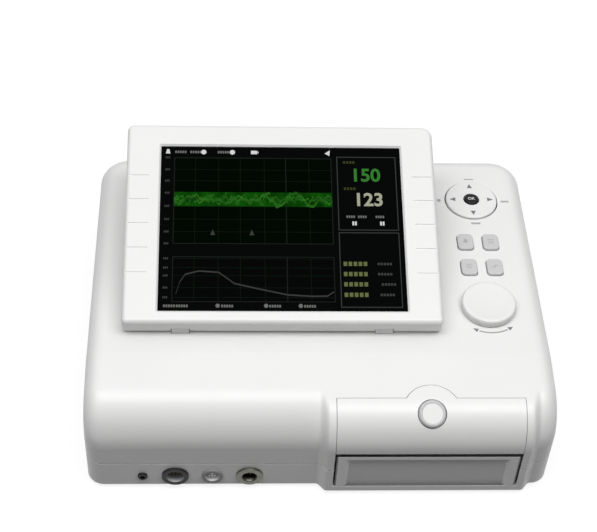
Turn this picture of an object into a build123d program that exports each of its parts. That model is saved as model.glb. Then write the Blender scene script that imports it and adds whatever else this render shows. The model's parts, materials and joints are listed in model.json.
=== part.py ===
from build123d import *
import math
import os

# Fetal monitor: a desk-top housing with a folding display, deck controls, probe sockets and a strip recorder.
# Millimetres and degrees. X points right, Y away from the user, Z up. Z is zero on the table,
# and X and Y are zero at the middle of the housing.

# Housing
body_width = 320.0
body_depth = 250.0
deck_height = 82.0
body_bottom = 4.0
seam_height = 28.0
wall = 2.8
front_slope = 8.0
crease_setback = 53.0
crease_radius = 14.0
nose_radius = 34.0
back_corner_radius = 22.0
edge_radius = 12.0
seam_groove_depth = 0.7
seam_groove_height = 0.8

# Bulge of the housing over the recorder
bulge_reach = 6.0
bulge_side_margin = 19.5
bulge_blend = 7.0
bulge_nose_radius = 28.0
blend_steps = 6

# Fits that several pieces share
overrun = 2.0
touch = 0.001
running_gap = 0.05
seam_gap = 0.35
seat_gap = 0.3

# Folding display
screen_width = 170.4
screen_height = 127.8
display_side_margin = 24.2
display_tilt = 17.7
border_side = 24.6
border_top = 17.9
border_bottom = 9.6
display_thickness = 16.7
bezel_thickness = 5.0
bezel_front_wall = 2.2
display_wall = 2.5
display_corner_low = 3.4
display_corner_high_left = 4.8
display_corner_high_right = 8.0
display_edge = 3.3
window_frame_slope = 1.2
window_gap = 0.3
window_margin = 1.4
window_thickness = 1.5
panel_margin_side = 8.8
panel_margin_top = 6.1
panel_thickness = 4.9
display_board_width = 150.0
display_board_height = 100.0
board_thickness = 1.6
board_gap = 0.6
groove_count = 5
groove_pitch = 18.9
groove_first = 39.6
groove_length = 16.3
groove_width = 1.1
groove_depth = 0.5
display_screw_inset = 12.0
display_boss_radius = 3.2
small_screw_radius = 1.5
small_head_radius = 3.0
small_head_height = 1.8

# Display hinge
hinge_setback = 73.3
hinge_lift = 4.3
hinge_corner = 3.5
hinge_spread = 70.0
hinge_pin_radius = 1.6
knuckle_radius = 3.1
knuckle_width = 12.0
notch_gap = 0.5
hinge_boss_length = 7.0
notch_wall = 1.0
bracket_foot_width = 26.0
bracket_foot_depth = 14.0
bracket_foot_thickness = 2.3
bracket_screw_spread = 9.6
bracket_screw_radius = 1.4
bracket_screw_head = 2.5
bracket_screw_bite = 1.9
bumper_radius = 6.0
bumper_height = 0.5
bumper_edge = 0.2
bumper_spread = 60.0
bumper_reach = 122.6

# Controls on the right of the deck
control_margin = 40.7
pad_back_margin = 48.7
pad_radius = 19.2
pad_gap = 0.8
pad_rise = 1.6
pad_thickness = 6.2
pad_edge = 1.2
pad_pivot_depth = 7.4
pad_ear_place = 12.8
pad_ear_thickness = 2.2
pad_ear_width = 5.0
pad_ear_depth = 4.6
gimbal_inner_radius = 8.2
gimbal_outer_radius = 11.0
gimbal_thickness = 1.6
gimbal_pin_radius = 0.9
pad_base_radius = 9.5
pad_base_thickness = 0.8
ok_radius = 5.2
ok_hole_gap = 0.9
ok_rise = 0.9
ok_dome = 0.8
ok_flange_radius = 6.6
ok_flange_thickness = 1.0
ok_flange_gap = 0.8
ok_stem_radius = 3.0
key_width = 11.5
key_height = 15.0
key_corner = 3.0
key_pitch_x = 18.6
key_pitch_y = 25.0
keys_from_pad = 56.5
key_gap = 0.4
key_rise = 2.0
key_edge = 0.8
key_flange = 1.2
key_flange_thickness = 1.2
key_flange_gap = 0.2
key_stem_radius = 2.5
key_travel = 1.0
knob_from_pad = 106.8
knob_radius = 19.4
knob_height = 5.8
knob_lift = 0.7
knob_edge = 1.6
knob_shaft_radius = 3.0
knob_hole_gap = 0.8
encoder_width = 14.0
encoder_height = 7.0
key_board_width = 46.0
key_board_margin = 21.6
key_board_drop = 10.5
key_post_radius = 3.0
key_post_inset = 4.5

# Recorder opening, lid and latch
opening_width = 127.7
opening_sill = 5.2
cheek_width = 4.0
lid_seam_setback = 24.3
lid_low_drop = 35.2
arch_width = 34.0
arch_height = 10.0
lid_hinge_inset = 4.0
lid_hinge_drop = 32.5
lid_pin_radius = 1.5
lid_pin_length = 7.8
lid_ear_radius = 3.6
lid_ear_width = 3.4
lid_ear_height = 9.2
lid_boss_width = 4.8
lid_boss_depth = 8.4
lid_boss_below = 4.3
lid_boss_above = 4.5
latch_angle = 30.6
latch_radius = 9.3
latch_hole_radius = 9.9
latch_rise = 1.3
latch_bevel_width = 2.4
latch_bevel_height = 1.5
latch_sleeve_wall = 1.7
latch_sleeve_depth = 5.2
latch_flange = 1.6
latch_flange_thickness = 1.2
latch_stem_radius = 2.5
latch_stem_length = 5.4
hook_width = 12.0
hook_setback = 31.0
hook_thickness = 1.2
hook_drop = 16.0
hook_nose = 2.0
hook_nose_height = 1.6
hook_gap = 0.2
catch_width = 16.0
catch_lift = 0.8

# Paper drawer
drawer_top_drop = 38.5
drawer_front_thickness = 4.0
drawer_edge = 0.6
drawer_side_gap = 1.1
drawer_lip = 0.9
drawer_ramp_drop = 4.6
frame_border = 7.0
frame_top_border = 3.4
frame_recess = 1.9
frame_slope_width = 2.6
tray_side_gap = 5.2
tray_wall = 2.0
tray_lift = 0.4
tray_floor = 1.8
tray_top_gap = 1.0
tray_depth = 95.0
runner_width = 2.0
runner_height = 2.0
runner_height_share = 0.38
rail_margin = 4.0
rail_gap = 0.4
paper_side_gap = 2.65
paper_depth = 90.0
paper_head_room = 5.2
paper_corner = 0.8
paper_set_back = 0.5

# Recorder works
plate_thickness = 2.0
plate_gap = 0.8
plate_setback = 9.0
plate_depth = 94.0
plate_top_drop = 24.0
platen_setback = 13.5
platen_drop = 43.4
platen_radius = 6.0
platen_end_gap = 8.95
platen_shaft_radius = 2.5
gear_module = 1.0
root_share = 1.25
platen_teeth = 16
pinion_teeth = 12
gear_width = 3.0
gear_inset = 2.5
gear_backlash = 0.3
gear_play = 0.1
gear_angle = 25.0
pressure_angle = 20.0
motor_radius = 12.5
motor_length = 22.0
motor_shaft_radius = 1.5
motor_shaft_depth = 4.0
head_inset = 1.2
head_depth = 11.0
head_height = 4.0
head_gap = 0.3
head_rib_inset = 14.5
head_rib_thickness = 1.5

# Probe sockets on the front left
socket_z = 14.3
socket_flange_thickness = 1.8
socket_edge = 0.6
socket_length = 18.0
socket_insert_thickness = 3.0
socket_insert_step = 0.4
socket_board_margin = 3.0
socket_board_height = 18.0
marker_place_share = 0.234
marker_flange_radius = 3.4
marker_barrel_radius = 2.7
marker_bore_radius = 1.8
doppler_place_share = 0.369
doppler_flange_radius = 9.3
doppler_barrel_radius = 7.2
doppler_bore_radius = 6.2
movement_place_share = 0.523
movement_flange_radius = 7.3
movement_barrel_radius = 6.0
movement_bore_radius = 4.9
toco_place_share = 0.678
toco_flange_radius = 9.3
toco_barrel_radius = 7.2
toco_bore_radius = 5.4
socket_bore_depth = 9.0

# Rear panel and what it carries
rear_panel_margin = 25.0
rear_panel_width = 130.0
rear_panel_low = 16.0
rear_panel_high = 56.0
rear_panel_thickness = 2.0
rear_panel_overlap = 3.0
rear_panel_corner = 3.0
port_z = 36.0
port_gap = 0.2
inlet_margin = 45.0
inlet_width = 28.0
inlet_height = 21.0
inlet_depth = 20.0
inlet_flange = 2.0
inlet_flange_thickness = 1.6
inlet_cavity_width = 24.0
inlet_cavity_height = 16.0
inlet_cavity_depth = 16.0
inlet_cavity_corner = 2.0
blade_width = 4.0
blade_thickness = 2.0
blade_length = 13.0
blade_spread = 7.0
blade_lift = 1.0
earth_blade_lift = 5.0
switch_margin = 76.0
switch_width = 16.0
switch_height = 23.0
switch_depth = 12.0
switch_pocket_width = 11.0
switch_pocket_height = 18.0
switch_pocket_depth = 10.0
rocker_angle = 8.0
rocker_half_height = 7.8
rocker_width = 10.4
rocker_rise = 1.4
rocker_dip = 1.2
rocker_pivot_depth = 5.0
rocker_root_half = 3.0
rocker_root_depth = 8.0
rocker_pin_radius = 1.2
rocker_pin_length = 13.0
fuse_margin = 98.0
fuse_spread = 9.0
fuse_radius = 6.5
fuse_barrel_radius = 5.4
fuse_flange_thickness = 2.2
fuse_length = 24.0
fuse_slot_width = 1.4
fuse_slot_depth = 1.0
earth_margin = 117.0
earth_radius = 3.0
earth_collar_radius = 5.0
earth_collar_height = 2.2
earth_root_length = 5.0
data_margin = 138.0
data_width = 18.0
data_height = 13.0
data_depth = 15.0
data_cavity_width = 14.0
data_cavity_height = 9.0
data_cavity_depth = 11.0
vent_count = 9
vent_width = 2.6
vent_pitch = 7.0
vent_height = 22.0
vent_margin = 75.0
vent_z = 44.0

# Underside
foot_radius = 8.5
foot_side_margin = 28.0
foot_end_margin = 29.0
foot_edge = 0.8
battery_margin = 96.0
battery_setback = 52.0
battery_size = 72.0
battery_height = 20.0
battery_gap = 0.3
battery_cover_margin = 5.0
battery_cover_thickness = 1.6
battery_rib_thickness = 1.6
battery_rib_height = 14.0
cover_gap = 0.3
speaker_margin = 33.0
speaker_offset = 6.0
speaker_radius = 22.0
speaker_height = 14.0
speaker_magnet_radius = 12.0
speaker_rim_height = 3.0
grille_count = 7
grille_pitch = 5.0
grille_width = 2.2
grille_length = 30.0

# Posts and screws that hold the two housings together
post_radius = 4.2
post_places_share = ((-0.459, -0.4), (-0.459, 0.38), (0.459, 0.38), (0.466, -0.08))
housing_screw_radius = 1.6
housing_head_radius = 3.2
housing_head_height = 2.2
housing_screw_length = 36.0
housing_screw_recess = 0.4

# Boards and supply inside
board_side_margin = 22.0
main_board_gap = 16.0
main_board_setback = 27.0
main_board_depth = 108.0
main_board_z = 12.0
board_post_radius = 3.0
board_post_inset = 5.0
chip_height = 3.0
chip_size = 26.0
connector_width = 60.0
connector_height = 9.0
connector_depth = 8.0
supply_width = 90.0
supply_gap = 10.0
supply_back_margin = 35.0
supply_height = 30.0
supply_lift = 3.0
supply_wall = 1.2
supply_corner = 1.0

# Places worked out from the sizes above
body_left = -body_width / 2
body_right = body_width / 2
body_front = -body_depth / 2
body_back = body_depth / 2
crease_y = body_front + crease_setback
bulge_front = body_front - bulge_reach
bulge_right = body_right - bulge_side_margin
bulge_left = bulge_right - opening_width - 2 * cheek_width
deck_inside = deck_height - wall
floor_top = body_bottom + wall
wall_inside_y = body_front + wall
display_width = screen_width + 2 * border_side
display_x = body_left + display_side_margin + display_width / 2
display_low = -screen_height / 2 - border_bottom
display_high = screen_height / 2 + border_top
hinge_y = body_front + hinge_setback
hinge_z = deck_height + hinge_lift
hinge_w = display_low + hinge_corner
hinge_n = hinge_corner - display_thickness
bumper_y = hinge_y + bumper_reach
control_x = body_right - control_margin
pad_y = body_back - pad_back_margin
keys_y = pad_y - keys_from_pad
knob_y = pad_y - knob_from_pad
key_board_back = pad_y + key_board_margin
key_board_front = knob_y - key_board_margin
key_board_top = deck_height - key_board_drop
recorder_x = (bulge_left + bulge_right) / 2
opening_bottom = body_bottom + opening_sill
lid_seam_y = bulge_front + lid_seam_setback
lid_low = deck_height - lid_low_drop
lid_hinge_y = bulge_front + lid_hinge_inset
lid_hinge_height = deck_height - lid_hinge_drop
lid_ear_top = lid_low + lid_ear_height
hook_y = bulge_front + hook_setback
hook_low = deck_height - hook_drop
plate_inner = opening_width / 2 + plate_gap
plate_front_y = bulge_front + plate_setback
plate_back_y = plate_front_y + plate_depth
plate_top = deck_height - plate_top_drop
platen_y = bulge_front + platen_setback
platen_z = deck_height - platen_drop
platen_length = 2 * (plate_inner - platen_end_gap)
head_width = platen_length - 2 * head_inset
head_rib_width = head_width - 2 * head_rib_inset
drawer_top = deck_height - drawer_top_drop
tray_half_width = opening_width / 2 - tray_side_gap
tray_low = opening_bottom + tray_lift
tray_top = platen_z - platen_radius - tray_top_gap
runner_low = tray_low + (tray_top - tray_low) * runner_height_share
paper_width = 2 * (tray_half_width - tray_wall - paper_side_gap)
paper_low = tray_low + tray_floor
front_panel_width = bulge_left - body_left
marker_x = body_left + front_panel_width * marker_place_share
doppler_x = body_left + front_panel_width * doppler_place_share
movement_x = body_left + front_panel_width * movement_place_share
toco_x = body_left + front_panel_width * toco_place_share
rear_panel_x = body_left + rear_panel_margin + rear_panel_width / 2
inlet_x = body_left + inlet_margin
switch_x = body_left + switch_margin
fuse_x = body_left + fuse_margin
earth_x = body_left + earth_margin
data_x = body_left + data_margin
vent_x = body_right - vent_margin
blade_root_y = body_back - wall + inlet_flange_thickness - inlet_cavity_depth
foot_x = body_right - foot_side_margin
foot_y = body_back - foot_end_margin
battery_x = body_right - battery_margin
battery_y = plate_back_y + battery_setback
speaker_x = body_right - speaker_margin
speaker_y = battery_y + speaker_offset
main_board_left = body_left + board_side_margin
main_board_width = recorder_x - plate_inner - plate_thickness - main_board_gap - main_board_left
main_board_front = body_front + main_board_setback
supply_left = main_board_left
supply_front = main_board_front + main_board_depth + supply_gap
supply_depth = body_back - supply_back_margin - supply_front


def span(middle, size):
    return (middle - size / 2, middle + size / 2)


def block(xs, ys, zs):
    middle = Pos((xs[0] + xs[1]) / 2, (ys[0] + ys[1]) / 2, (zs[0] + zs[1]) / 2)
    return middle * Box(xs[1] - xs[0], ys[1] - ys[0], zs[1] - zs[0])


def rod_x(xs, y, z, radius):
    return Pos((xs[0] + xs[1]) / 2, y, z) * Rot(0, 90, 0) * Cylinder(radius, xs[1] - xs[0])


def rod_y(x, ys, z, radius):
    return Pos(x, (ys[0] + ys[1]) / 2, z) * Rot(90, 0, 0) * Cylinder(radius, ys[1] - ys[0])


def rod_z(x, y, zs, radius):
    return Pos(x, y, (zs[0] + zs[1]) / 2) * Cylinder(radius, zs[1] - zs[0])


def facing_front(x, y, z):
    """A drawing plane that looks at the user: X to the right, its other axis up."""
    return Plane(origin=(x, y, z), x_dir=(1, 0, 0), z_dir=(0, -1, 0))


def slab(xs, ys, zs, corner):
    """A block whose upright edges are rounded."""
    plan = RectangleRounded(xs[1] - xs[0], ys[1] - ys[0], corner)
    return extrude(Pos((xs[0] + xs[1]) / 2, (ys[0] + ys[1]) / 2, zs[0]) * plan, amount=zs[1] - zs[0])


def tapered(xs, ys, zs, inset):
    """A block that narrows by inset on every side towards its lower end."""
    top = Pos((xs[0] + xs[1]) / 2, (ys[0] + ys[1]) / 2, zs[1]) * Rectangle(xs[1] - xs[0], ys[1] - ys[0])
    low = Pos((xs[0] + xs[1]) / 2, (ys[0] + ys[1]) / 2, zs[0])
    return loft([low * Rectangle(xs[1] - xs[0] - 2 * inset, ys[1] - ys[0] - 2 * inset), top])


def edges_at(shape, axis, value, kind=None):
    """Edges whose middle lies at one height along an axis."""
    found = []
    for edge in shape.edges():
        place = {Axis.X: edge.center().X, Axis.Y: edge.center().Y, Axis.Z: edge.center().Z}[axis]
        if abs(place - value) < touch and (kind is None or edge.geom_type == kind):
            found.append(edge)
    return found


def edges_between(shape, axis, height):
    """Edges that run along an axis at one height."""
    return [edge for edge in shape.edges().filter_by(axis) if abs(edge.center().Z - height) < touch]


def round_top(shape, height, radius):
    """Rounds the edges that lie flat at one height."""
    flat = [e for e in edges_at(shape, Axis.Z, height) if abs(e.position_at(0).Z - height) < touch]
    return fillet(flat, radius)


# Housing

def side_profile(front, nose, inset):
    """The housing seen from the side, drawn a given distance inside its skin."""
    angle = math.radians(front_slope)
    deck = deck_height - inset
    back = body_back - inset
    low = body_bottom + inset
    face_y = front + inset
    crease = crease_y + inset * math.tan(angle / 2)
    nose_z = deck_height - (crease_y - face_y) * math.tan(angle) - inset / math.cos(angle)
    outline = Polyline((back, low), (back, deck), (crease, deck), (face_y, nose_z), (face_y, low), close=True)
    sketch = make_face(outline)
    sketch = fillet(sketch.vertices().sort_by_distance((crease, deck))[0], crease_radius - inset)
    return fillet(sketch.vertices().sort_by_distance((face_y, nose_z))[0], nose - inset)


def station(x, bulge_share, inset):
    """The side profile at one X. A share of 0 is the plain front, 1 the full bulge."""
    eased = bulge_share * bulge_share * (3 - 2 * bulge_share)
    nose = nose_radius + (bulge_nose_radius - nose_radius) * eased
    return Plane.YZ.offset(x) * side_profile(body_front - bulge_reach * eased, nose, inset)


def housing_form(inset):
    half = body_width / 2 - inset
    left = bulge_left + inset
    right = bulge_right - inset
    form = extrude(station(-half, 0, inset), amount=left - bulge_blend + half)
    form += extrude(station(left, 1, inset), amount=right - left)
    form += extrude(station(right + bulge_blend, 0, inset), amount=half - right - bulge_blend)
    for step in range(blend_steps):
        for edge_x, way in ((left, -1), (right, 1)):
            shares = (step / blend_steps, (step + 1) / blend_steps)
            form += loft([station(edge_x + way * bulge_blend * (1 - s), s, inset) for s in shares], ruled=True)
    uprights = form.edges().filter_by(Axis.Z).group_by(Axis.Y)[-1]
    form = fillet(uprights, back_corner_radius - inset)

    def on_rim(edge):
        places = [edge.position_at(share) for share in (0, 0.5, 1)]
        if all(p.Z < body_bottom + inset + touch for p in places):
            return False
        flat = all(p.Z > deck_height - inset - touch for p in places)
        if all(abs(abs(p.X) - half) < touch for p in places):
            return flat or places[1].Y < 0
        return flat and places[1].Y > 0

    return fillet([edge for edge in form.edges() if on_rim(edge)], edge_radius - inset)


outer_form = housing_form(0)
inner_form = housing_form(wall)
skin = outer_form - inner_form


def lid_plan(gap, front):
    """The recorder opening from above, with the arch round the latch button."""
    half = opening_width / 2 - gap
    rear = lid_seam_y - gap
    arch = arch_width / 2 - gap
    left = (recorder_x - half, front)
    rim = Polyline((recorder_x - arch, rear), (recorder_x - half, rear), left, (recorder_x + half, front),
                   (recorder_x + half, rear), (recorder_x + arch, rear))
    bow = ThreePointArc((recorder_x + arch, rear), (recorder_x, rear + arch_height), (recorder_x - arch, rear))
    return make_face([rim, bow])


def opening_prism(gap, low):
    plan = Pos(0, 0, low) * lid_plan(gap, bulge_front - overrun)
    return extrude(plan, amount=deck_height + overrun - low)


def nose_place():
    """Where the round button sits on the bulge's rounded nose."""
    slope = math.radians(front_slope)
    angle = math.radians(latch_angle)
    middle_y = bulge_front + bulge_nose_radius
    middle_z = deck_height - (crease_y - middle_y) * math.tan(slope) - bulge_nose_radius / math.cos(slope)
    origin = (
        recorder_x,
        middle_y - bulge_nose_radius * math.sin(angle),
        middle_z + bulge_nose_radius * math.cos(angle),
    )
    return Plane(origin=origin, x_dir=(1, 0, 0), z_dir=(0, -math.sin(angle), math.cos(angle))).location


latch_place = nose_place()
post_places = [(x * body_width, y * body_depth) for x, y in post_places_share]
sockets = (
    ("marker_jack", marker_x, marker_flange_radius, marker_barrel_radius, marker_bore_radius),
    ("doppler_socket", doppler_x, doppler_flange_radius, doppler_barrel_radius, doppler_bore_radius),
    ("movement_socket", movement_x, movement_flange_radius, movement_barrel_radius, movement_bore_radius),
    ("toco_socket", toco_x, toco_flange_radius, toco_barrel_radius, toco_bore_radius),
)
hinge_xs = (display_x - hinge_spread, display_x + hinge_spread)
key_places = [
    (control_x + column * key_pitch_x / 2, keys_y + row * key_pitch_y / 2) for row in (1, -1) for column in (-1, 1)
]


def rear_panel_hole(gap):
    xs = span(rear_panel_x, rear_panel_width + 2 * gap)
    zs = (rear_panel_low - gap, rear_panel_high + gap)
    plan = RectangleRounded(xs[1] - xs[0], zs[1] - zs[0], rear_panel_corner)
    middle = facing_front((xs[0] + xs[1]) / 2, body_back + overrun, (zs[0] + zs[1]) / 2)
    return extrude(middle * plan, amount=wall + 2 * overrun)


def seam_groove():
    band = block(
        span(0, body_width + 2 * overrun),
        (bulge_front - overrun, body_back + overrun),
        (seam_height - seam_groove_height, seam_height),
    )
    return (outer_form & band) - housing_form(seam_groove_depth)


def lid_bosses():
    """Inside the cheeks of the opening: the blocks that the lid's pins turn in."""
    bosses = []
    for side in (-1, 1):
        inner = recorder_x + side * opening_width / 2
        xs = sorted((inner, inner + side * lid_boss_width))
        ys = (bulge_front, bulge_front + lid_boss_depth)
        zs = (lid_hinge_height - lid_boss_below, lid_hinge_height + lid_boss_above)
        bosses.append(block(xs, ys, zs) & outer_form)
    return bosses


def lid_pin_holes():
    holes = []
    for side in (-1, 1):
        inner = recorder_x + side * (opening_width / 2 - seam_gap)
        xs = sorted((inner, inner + side * (lid_pin_length - lid_ear_width + seam_gap)))
        holes.append(rod_x(xs, lid_hinge_y, lid_hinge_height, lid_pin_radius + running_gap))
    return holes


def upper_housing():
    above = block(
        span(0, body_width + 2 * overrun),
        (bulge_front - overrun, body_back + overrun),
        (seam_height, deck_height + overrun),
    )
    shell = skin & above
    shell -= opening_prism(0, opening_bottom)
    shell -= rear_panel_hole(0)
    shell -= rod_z(control_x, pad_y, (deck_inside - overrun, deck_height + overrun), pad_radius + pad_gap)
    shell -= rod_z(control_x, knob_y, (deck_inside - overrun, deck_height + overrun), knob_shaft_radius + knob_hole_gap)
    for x, y in key_places:
        room = (span(x, key_width + 2 * key_gap), span(y, key_height + 2 * key_gap))
        shell -= slab(*room, (deck_inside - overrun, deck_height + overrun), key_corner + key_gap)
    for k in range(vent_count):
        x = vent_x + (k - (vent_count - 1) / 2) * vent_pitch
        shell -= block(span(x, vent_width), (body_back - wall - overrun, body_back + overrun), span(vent_z, vent_height))
    for x, y in post_places:
        post = rod_z(x, y, (seam_height, deck_height), post_radius) & inner_form
        shell += post
        shell -= rod_z(x, y, (seam_height - overrun, body_bottom + housing_screw_length + overrun), housing_screw_radius)
    for x, y in key_board_posts():
        shell += rod_z(x, y, (key_board_top, deck_inside), key_post_radius)
    for boss, hole in zip(lid_bosses(), lid_pin_holes()):
        shell += boss
        shell -= hole
    for x in hinge_xs:
        slot = (span(x, knuckle_width + 2 * seat_gap), span(hinge_y, 2 * knuckle_radius + 2 * seat_gap))
        shell -= block(*slot, (deck_inside - overrun, deck_height + overrun))
    for x in bracket_screw_xs():
        shell -= rod_z(x, hinge_y, (deck_inside - overrun, deck_inside + bracket_screw_bite), bracket_screw_radius)
    return shell


def lower_housing():
    below = block(
        span(0, body_width + 2 * overrun),
        (bulge_front - overrun, body_back + overrun),
        (body_bottom - overrun, seam_height),
    )
    shell = skin & below
    shell -= seam_groove()
    shell -= opening_prism(0, opening_bottom)
    shell -= rear_panel_hole(0)
    for _, x, _, barrel, _ in sockets:
        shell -= rod_y(x, (body_front - overrun, wall_inside_y + overrun), socket_z, barrel)
    for x, y in post_places:
        shell += rod_z(x, y, (body_bottom, seam_height), post_radius)
        shell -= rod_z(x, y, (body_bottom - overrun, seam_height + overrun), housing_screw_radius + running_gap)
        recess_top = body_bottom + housing_screw_recess + housing_head_height
        shell -= rod_z(x, y, (body_bottom - overrun, recess_top), housing_head_radius + running_gap)
    for x, y in main_board_posts() + supply_posts():
        shell += rod_z(x[0], y, (body_bottom, x[1]), board_post_radius)
    shell += battery_ribs()
    size = battery_size + 2 * battery_gap
    shell -= block(span(battery_x, size), span(battery_y, size), (body_bottom - overrun, floor_top + overrun))
    cover = battery_size + 2 * battery_cover_margin + 2 * cover_gap
    cover_top = body_bottom + battery_cover_thickness
    shell -= block(span(battery_x, cover), span(battery_y, cover), (body_bottom - overrun, cover_top))
    for k in range(grille_count):
        x = speaker_x + (k - (grille_count - 1) / 2) * grille_pitch
        zs = (body_bottom - overrun, floor_top + overrun)
        shell -= block(span(x, grille_width), span(speaker_y, grille_length), zs)
    return shell


def battery_ribs():
    inside = battery_size + 2 * battery_gap
    outside = inside + 2 * battery_rib_thickness
    zs = (body_bottom + battery_cover_thickness, floor_top + battery_rib_height)
    ring = block(span(battery_x, outside), span(battery_y, outside), zs)
    return ring - block(span(battery_x, inside), span(battery_y, inside), (zs[0], zs[1] + overrun))


# Display, drawn flat round the middle of the screen: X across, Y up the screen, Z out of its face

def display_plane():
    tilt = math.radians(display_tilt)
    up = (math.cos(tilt), math.sin(tilt))
    out = (-math.sin(tilt), math.cos(tilt))
    origin = (
        display_x,
        hinge_y - hinge_w * up[0] - hinge_n * out[0],
        hinge_z - hinge_w * up[1] - hinge_n * out[1],
    )
    return Plane(origin=origin, x_dir=(1, 0, 0), z_dir=(0, out[0], out[1]))


display_place = display_plane().location
display_screws = [
    (side * (display_width / 2 - display_screw_inset), y)
    for side in (-1, 1)
    for y in (display_low + display_screw_inset, display_high - display_screw_inset)
]


def display_block(inset, low, high):
    """A block with the display's outline, drawn a given distance inside its edge."""
    half = display_width / 2 - inset
    bottom = display_low + inset
    top = display_high - inset
    corners = (
        ((-half, bottom), display_corner_low),
        ((half, bottom), display_corner_low),
        ((half, top), display_corner_high_right),
        ((-half, top), display_corner_high_left),
    )
    plan = make_face(Polyline(*[place for place, _ in corners], close=True))
    for place, radius in corners:
        if radius > inset:
            plan = fillet(plan.vertices().sort_by_distance(place)[0], radius - inset)
    return extrude(Pos(0, 0, low) * plan, amount=high - low)


def front_bezel():
    bezel = round_top(display_block(0, -bezel_thickness, 0), 0, display_edge)
    bezel -= display_block(display_wall, -bezel_thickness - overrun, -bezel_front_wall)
    xs = span(0, screen_width + 2 * window_gap)
    ys = span(0, screen_height + 2 * window_gap)
    bezel -= block(xs, ys, (-bezel_thickness, overrun))
    wide = (xs[0] - window_frame_slope, xs[1] + window_frame_slope)
    tall = (ys[0] - window_frame_slope, ys[1] + window_frame_slope)
    bezel -= tapered(wide, tall, (-window_frame_slope, 0), window_frame_slope)
    for side in (-1, 1):
        outer = side * display_width / 2
        groove_xs = sorted((outer + side * overrun, outer - side * groove_length))
        for k in range(groove_count):
            ys = span(groove_first - k * groove_pitch, groove_width)
            bezel -= block(groove_xs, ys, (-groove_depth, overrun))
    for x, y in display_screws:
        bezel += rod_z(x, y, (-bezel_thickness, -bezel_front_wall), display_boss_radius)
        bezel -= rod_z(x, y, (-bezel_thickness - overrun, -bezel_front_wall), small_screw_radius)
    return bezel


def display_window():
    xs = span(0, screen_width + 2 * window_margin)
    ys = span(0, screen_height + 2 * window_margin)
    return block(xs, ys, (-bezel_front_wall - window_thickness, -bezel_front_wall))


def lcd_panel():
    front = -bezel_front_wall - window_thickness
    ys = (-screen_height / 2 - window_margin, screen_height / 2 + panel_margin_top)
    return block(span(0, screen_width + 2 * panel_margin_side), ys, (front - panel_thickness, front))


def display_board():
    front = -bezel_front_wall - window_thickness - panel_thickness - board_gap
    return block(span(0, display_board_width), span(0, display_board_height), (front - board_thickness, front))


def rear_shell_form():
    """The display behind its bezel, with all its back edges rounded like the hinge edge."""
    sides = block(span(0, display_width), (display_low, display_high), (-display_thickness, 0))
    ends = fillet(edges_between(sides, Axis.X, -display_thickness), hinge_corner)
    rims = fillet(edges_between(sides, Axis.Y, -display_thickness), hinge_corner)
    return display_block(0, -display_thickness, -bezel_thickness) & ends & rims


def display_rear_shell():
    outer = rear_shell_form()
    shell = outer - display_block(display_wall, display_wall - display_thickness, -bezel_thickness + overrun)
    panel_back = -bezel_front_wall - window_thickness - panel_thickness
    inside_back = display_wall - display_thickness
    for side in (-1, 1):
        rib = side * (display_board_width + screen_width + 2 * panel_margin_side) / 4
        shell += block(span(rib, display_wall), span(0, display_board_height), (inside_back, panel_back))
        for y in (-1, 1):
            post = (side * (display_board_width / 2 - board_post_inset), y * (display_board_height / 2 - board_post_inset))
            shell += rod_z(*post, (inside_back, panel_back - board_gap - board_thickness), board_post_radius)
    for x, y in display_screws:
        shell += rod_z(x, y, (inside_back, -bezel_thickness), display_boss_radius)
        shell -= rod_z(x, y, (-display_thickness - overrun, overrun), small_screw_radius + running_gap)
        head = (-display_thickness - overrun, small_head_height - display_thickness)
        shell -= rod_z(x, y, head, small_head_radius + running_gap)
    for middle in (-hinge_spread, hinge_spread):
        room = knuckle_radius + seat_gap
        xs = span(middle, knuckle_width + 2 * notch_gap + 2 * hinge_boss_length)
        ys = (display_low, hinge_w + room + notch_wall)
        shell += block(xs, ys, (-display_thickness, hinge_n + room + notch_wall)) & outer
        notch_xs = span(middle, knuckle_width + 2 * notch_gap)
        notch_ys = (display_low - overrun, hinge_w + room)
        shell -= block(notch_xs, notch_ys, (-display_thickness - overrun, hinge_n + room))
        shell -= rod_x(xs, hinge_w, hinge_n, hinge_pin_radius)
    return shell


def display_screw_set():
    screws = []
    for x, y in display_screws:
        head = rod_z(x, y, (-display_thickness, small_head_height - display_thickness), small_head_radius)
        screws.append(head + rod_z(x, y, (-display_thickness, -bezel_front_wall), small_screw_radius))
    return Compound(children=screws)


def hinge_pins():
    length = knuckle_width + 2 * notch_gap + 2 * hinge_boss_length
    pins = [rod_x(span(middle, length), hinge_w, hinge_n, hinge_pin_radius) for middle in (-hinge_spread, hinge_spread)]
    return Compound(children=pins)


def bracket_screw_xs():
    return [x + side * bracket_screw_spread for x in hinge_xs for side in (-1, 1)]


def hinge_brackets():
    """Each bracket is a tongue that comes up through the deck, with its foot against the deck from below."""
    brackets = []
    foot_low = deck_inside - bracket_foot_thickness
    for x in hinge_xs:
        xs = span(x, knuckle_width)
        bracket = block(span(x, bracket_foot_width), span(hinge_y, bracket_foot_depth), (foot_low, deck_inside))
        bracket += block(xs, span(hinge_y, 2 * knuckle_radius), (foot_low, hinge_z))
        bracket += rod_x(xs, hinge_y, hinge_z, knuckle_radius)
        bracket -= rod_x(xs, hinge_y, hinge_z, hinge_pin_radius + running_gap)
        for side in (-1, 1):
            hole = (foot_low - overrun, deck_inside + overrun)
            bracket -= rod_z(x + side * bracket_screw_spread, hinge_y, hole, bracket_screw_radius)
        brackets.append(bracket)
    return Compound(children=brackets)


def bracket_screws():
    screws = []
    foot_low = deck_inside - bracket_foot_thickness
    for x in bracket_screw_xs():
        head = rod_z(x, hinge_y, (foot_low - bracket_screw_radius, foot_low), bracket_screw_head)
        screws.append(head + rod_z(x, hinge_y, (foot_low, deck_inside + bracket_screw_bite), bracket_screw_radius))
    return Compound(children=screws)


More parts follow.
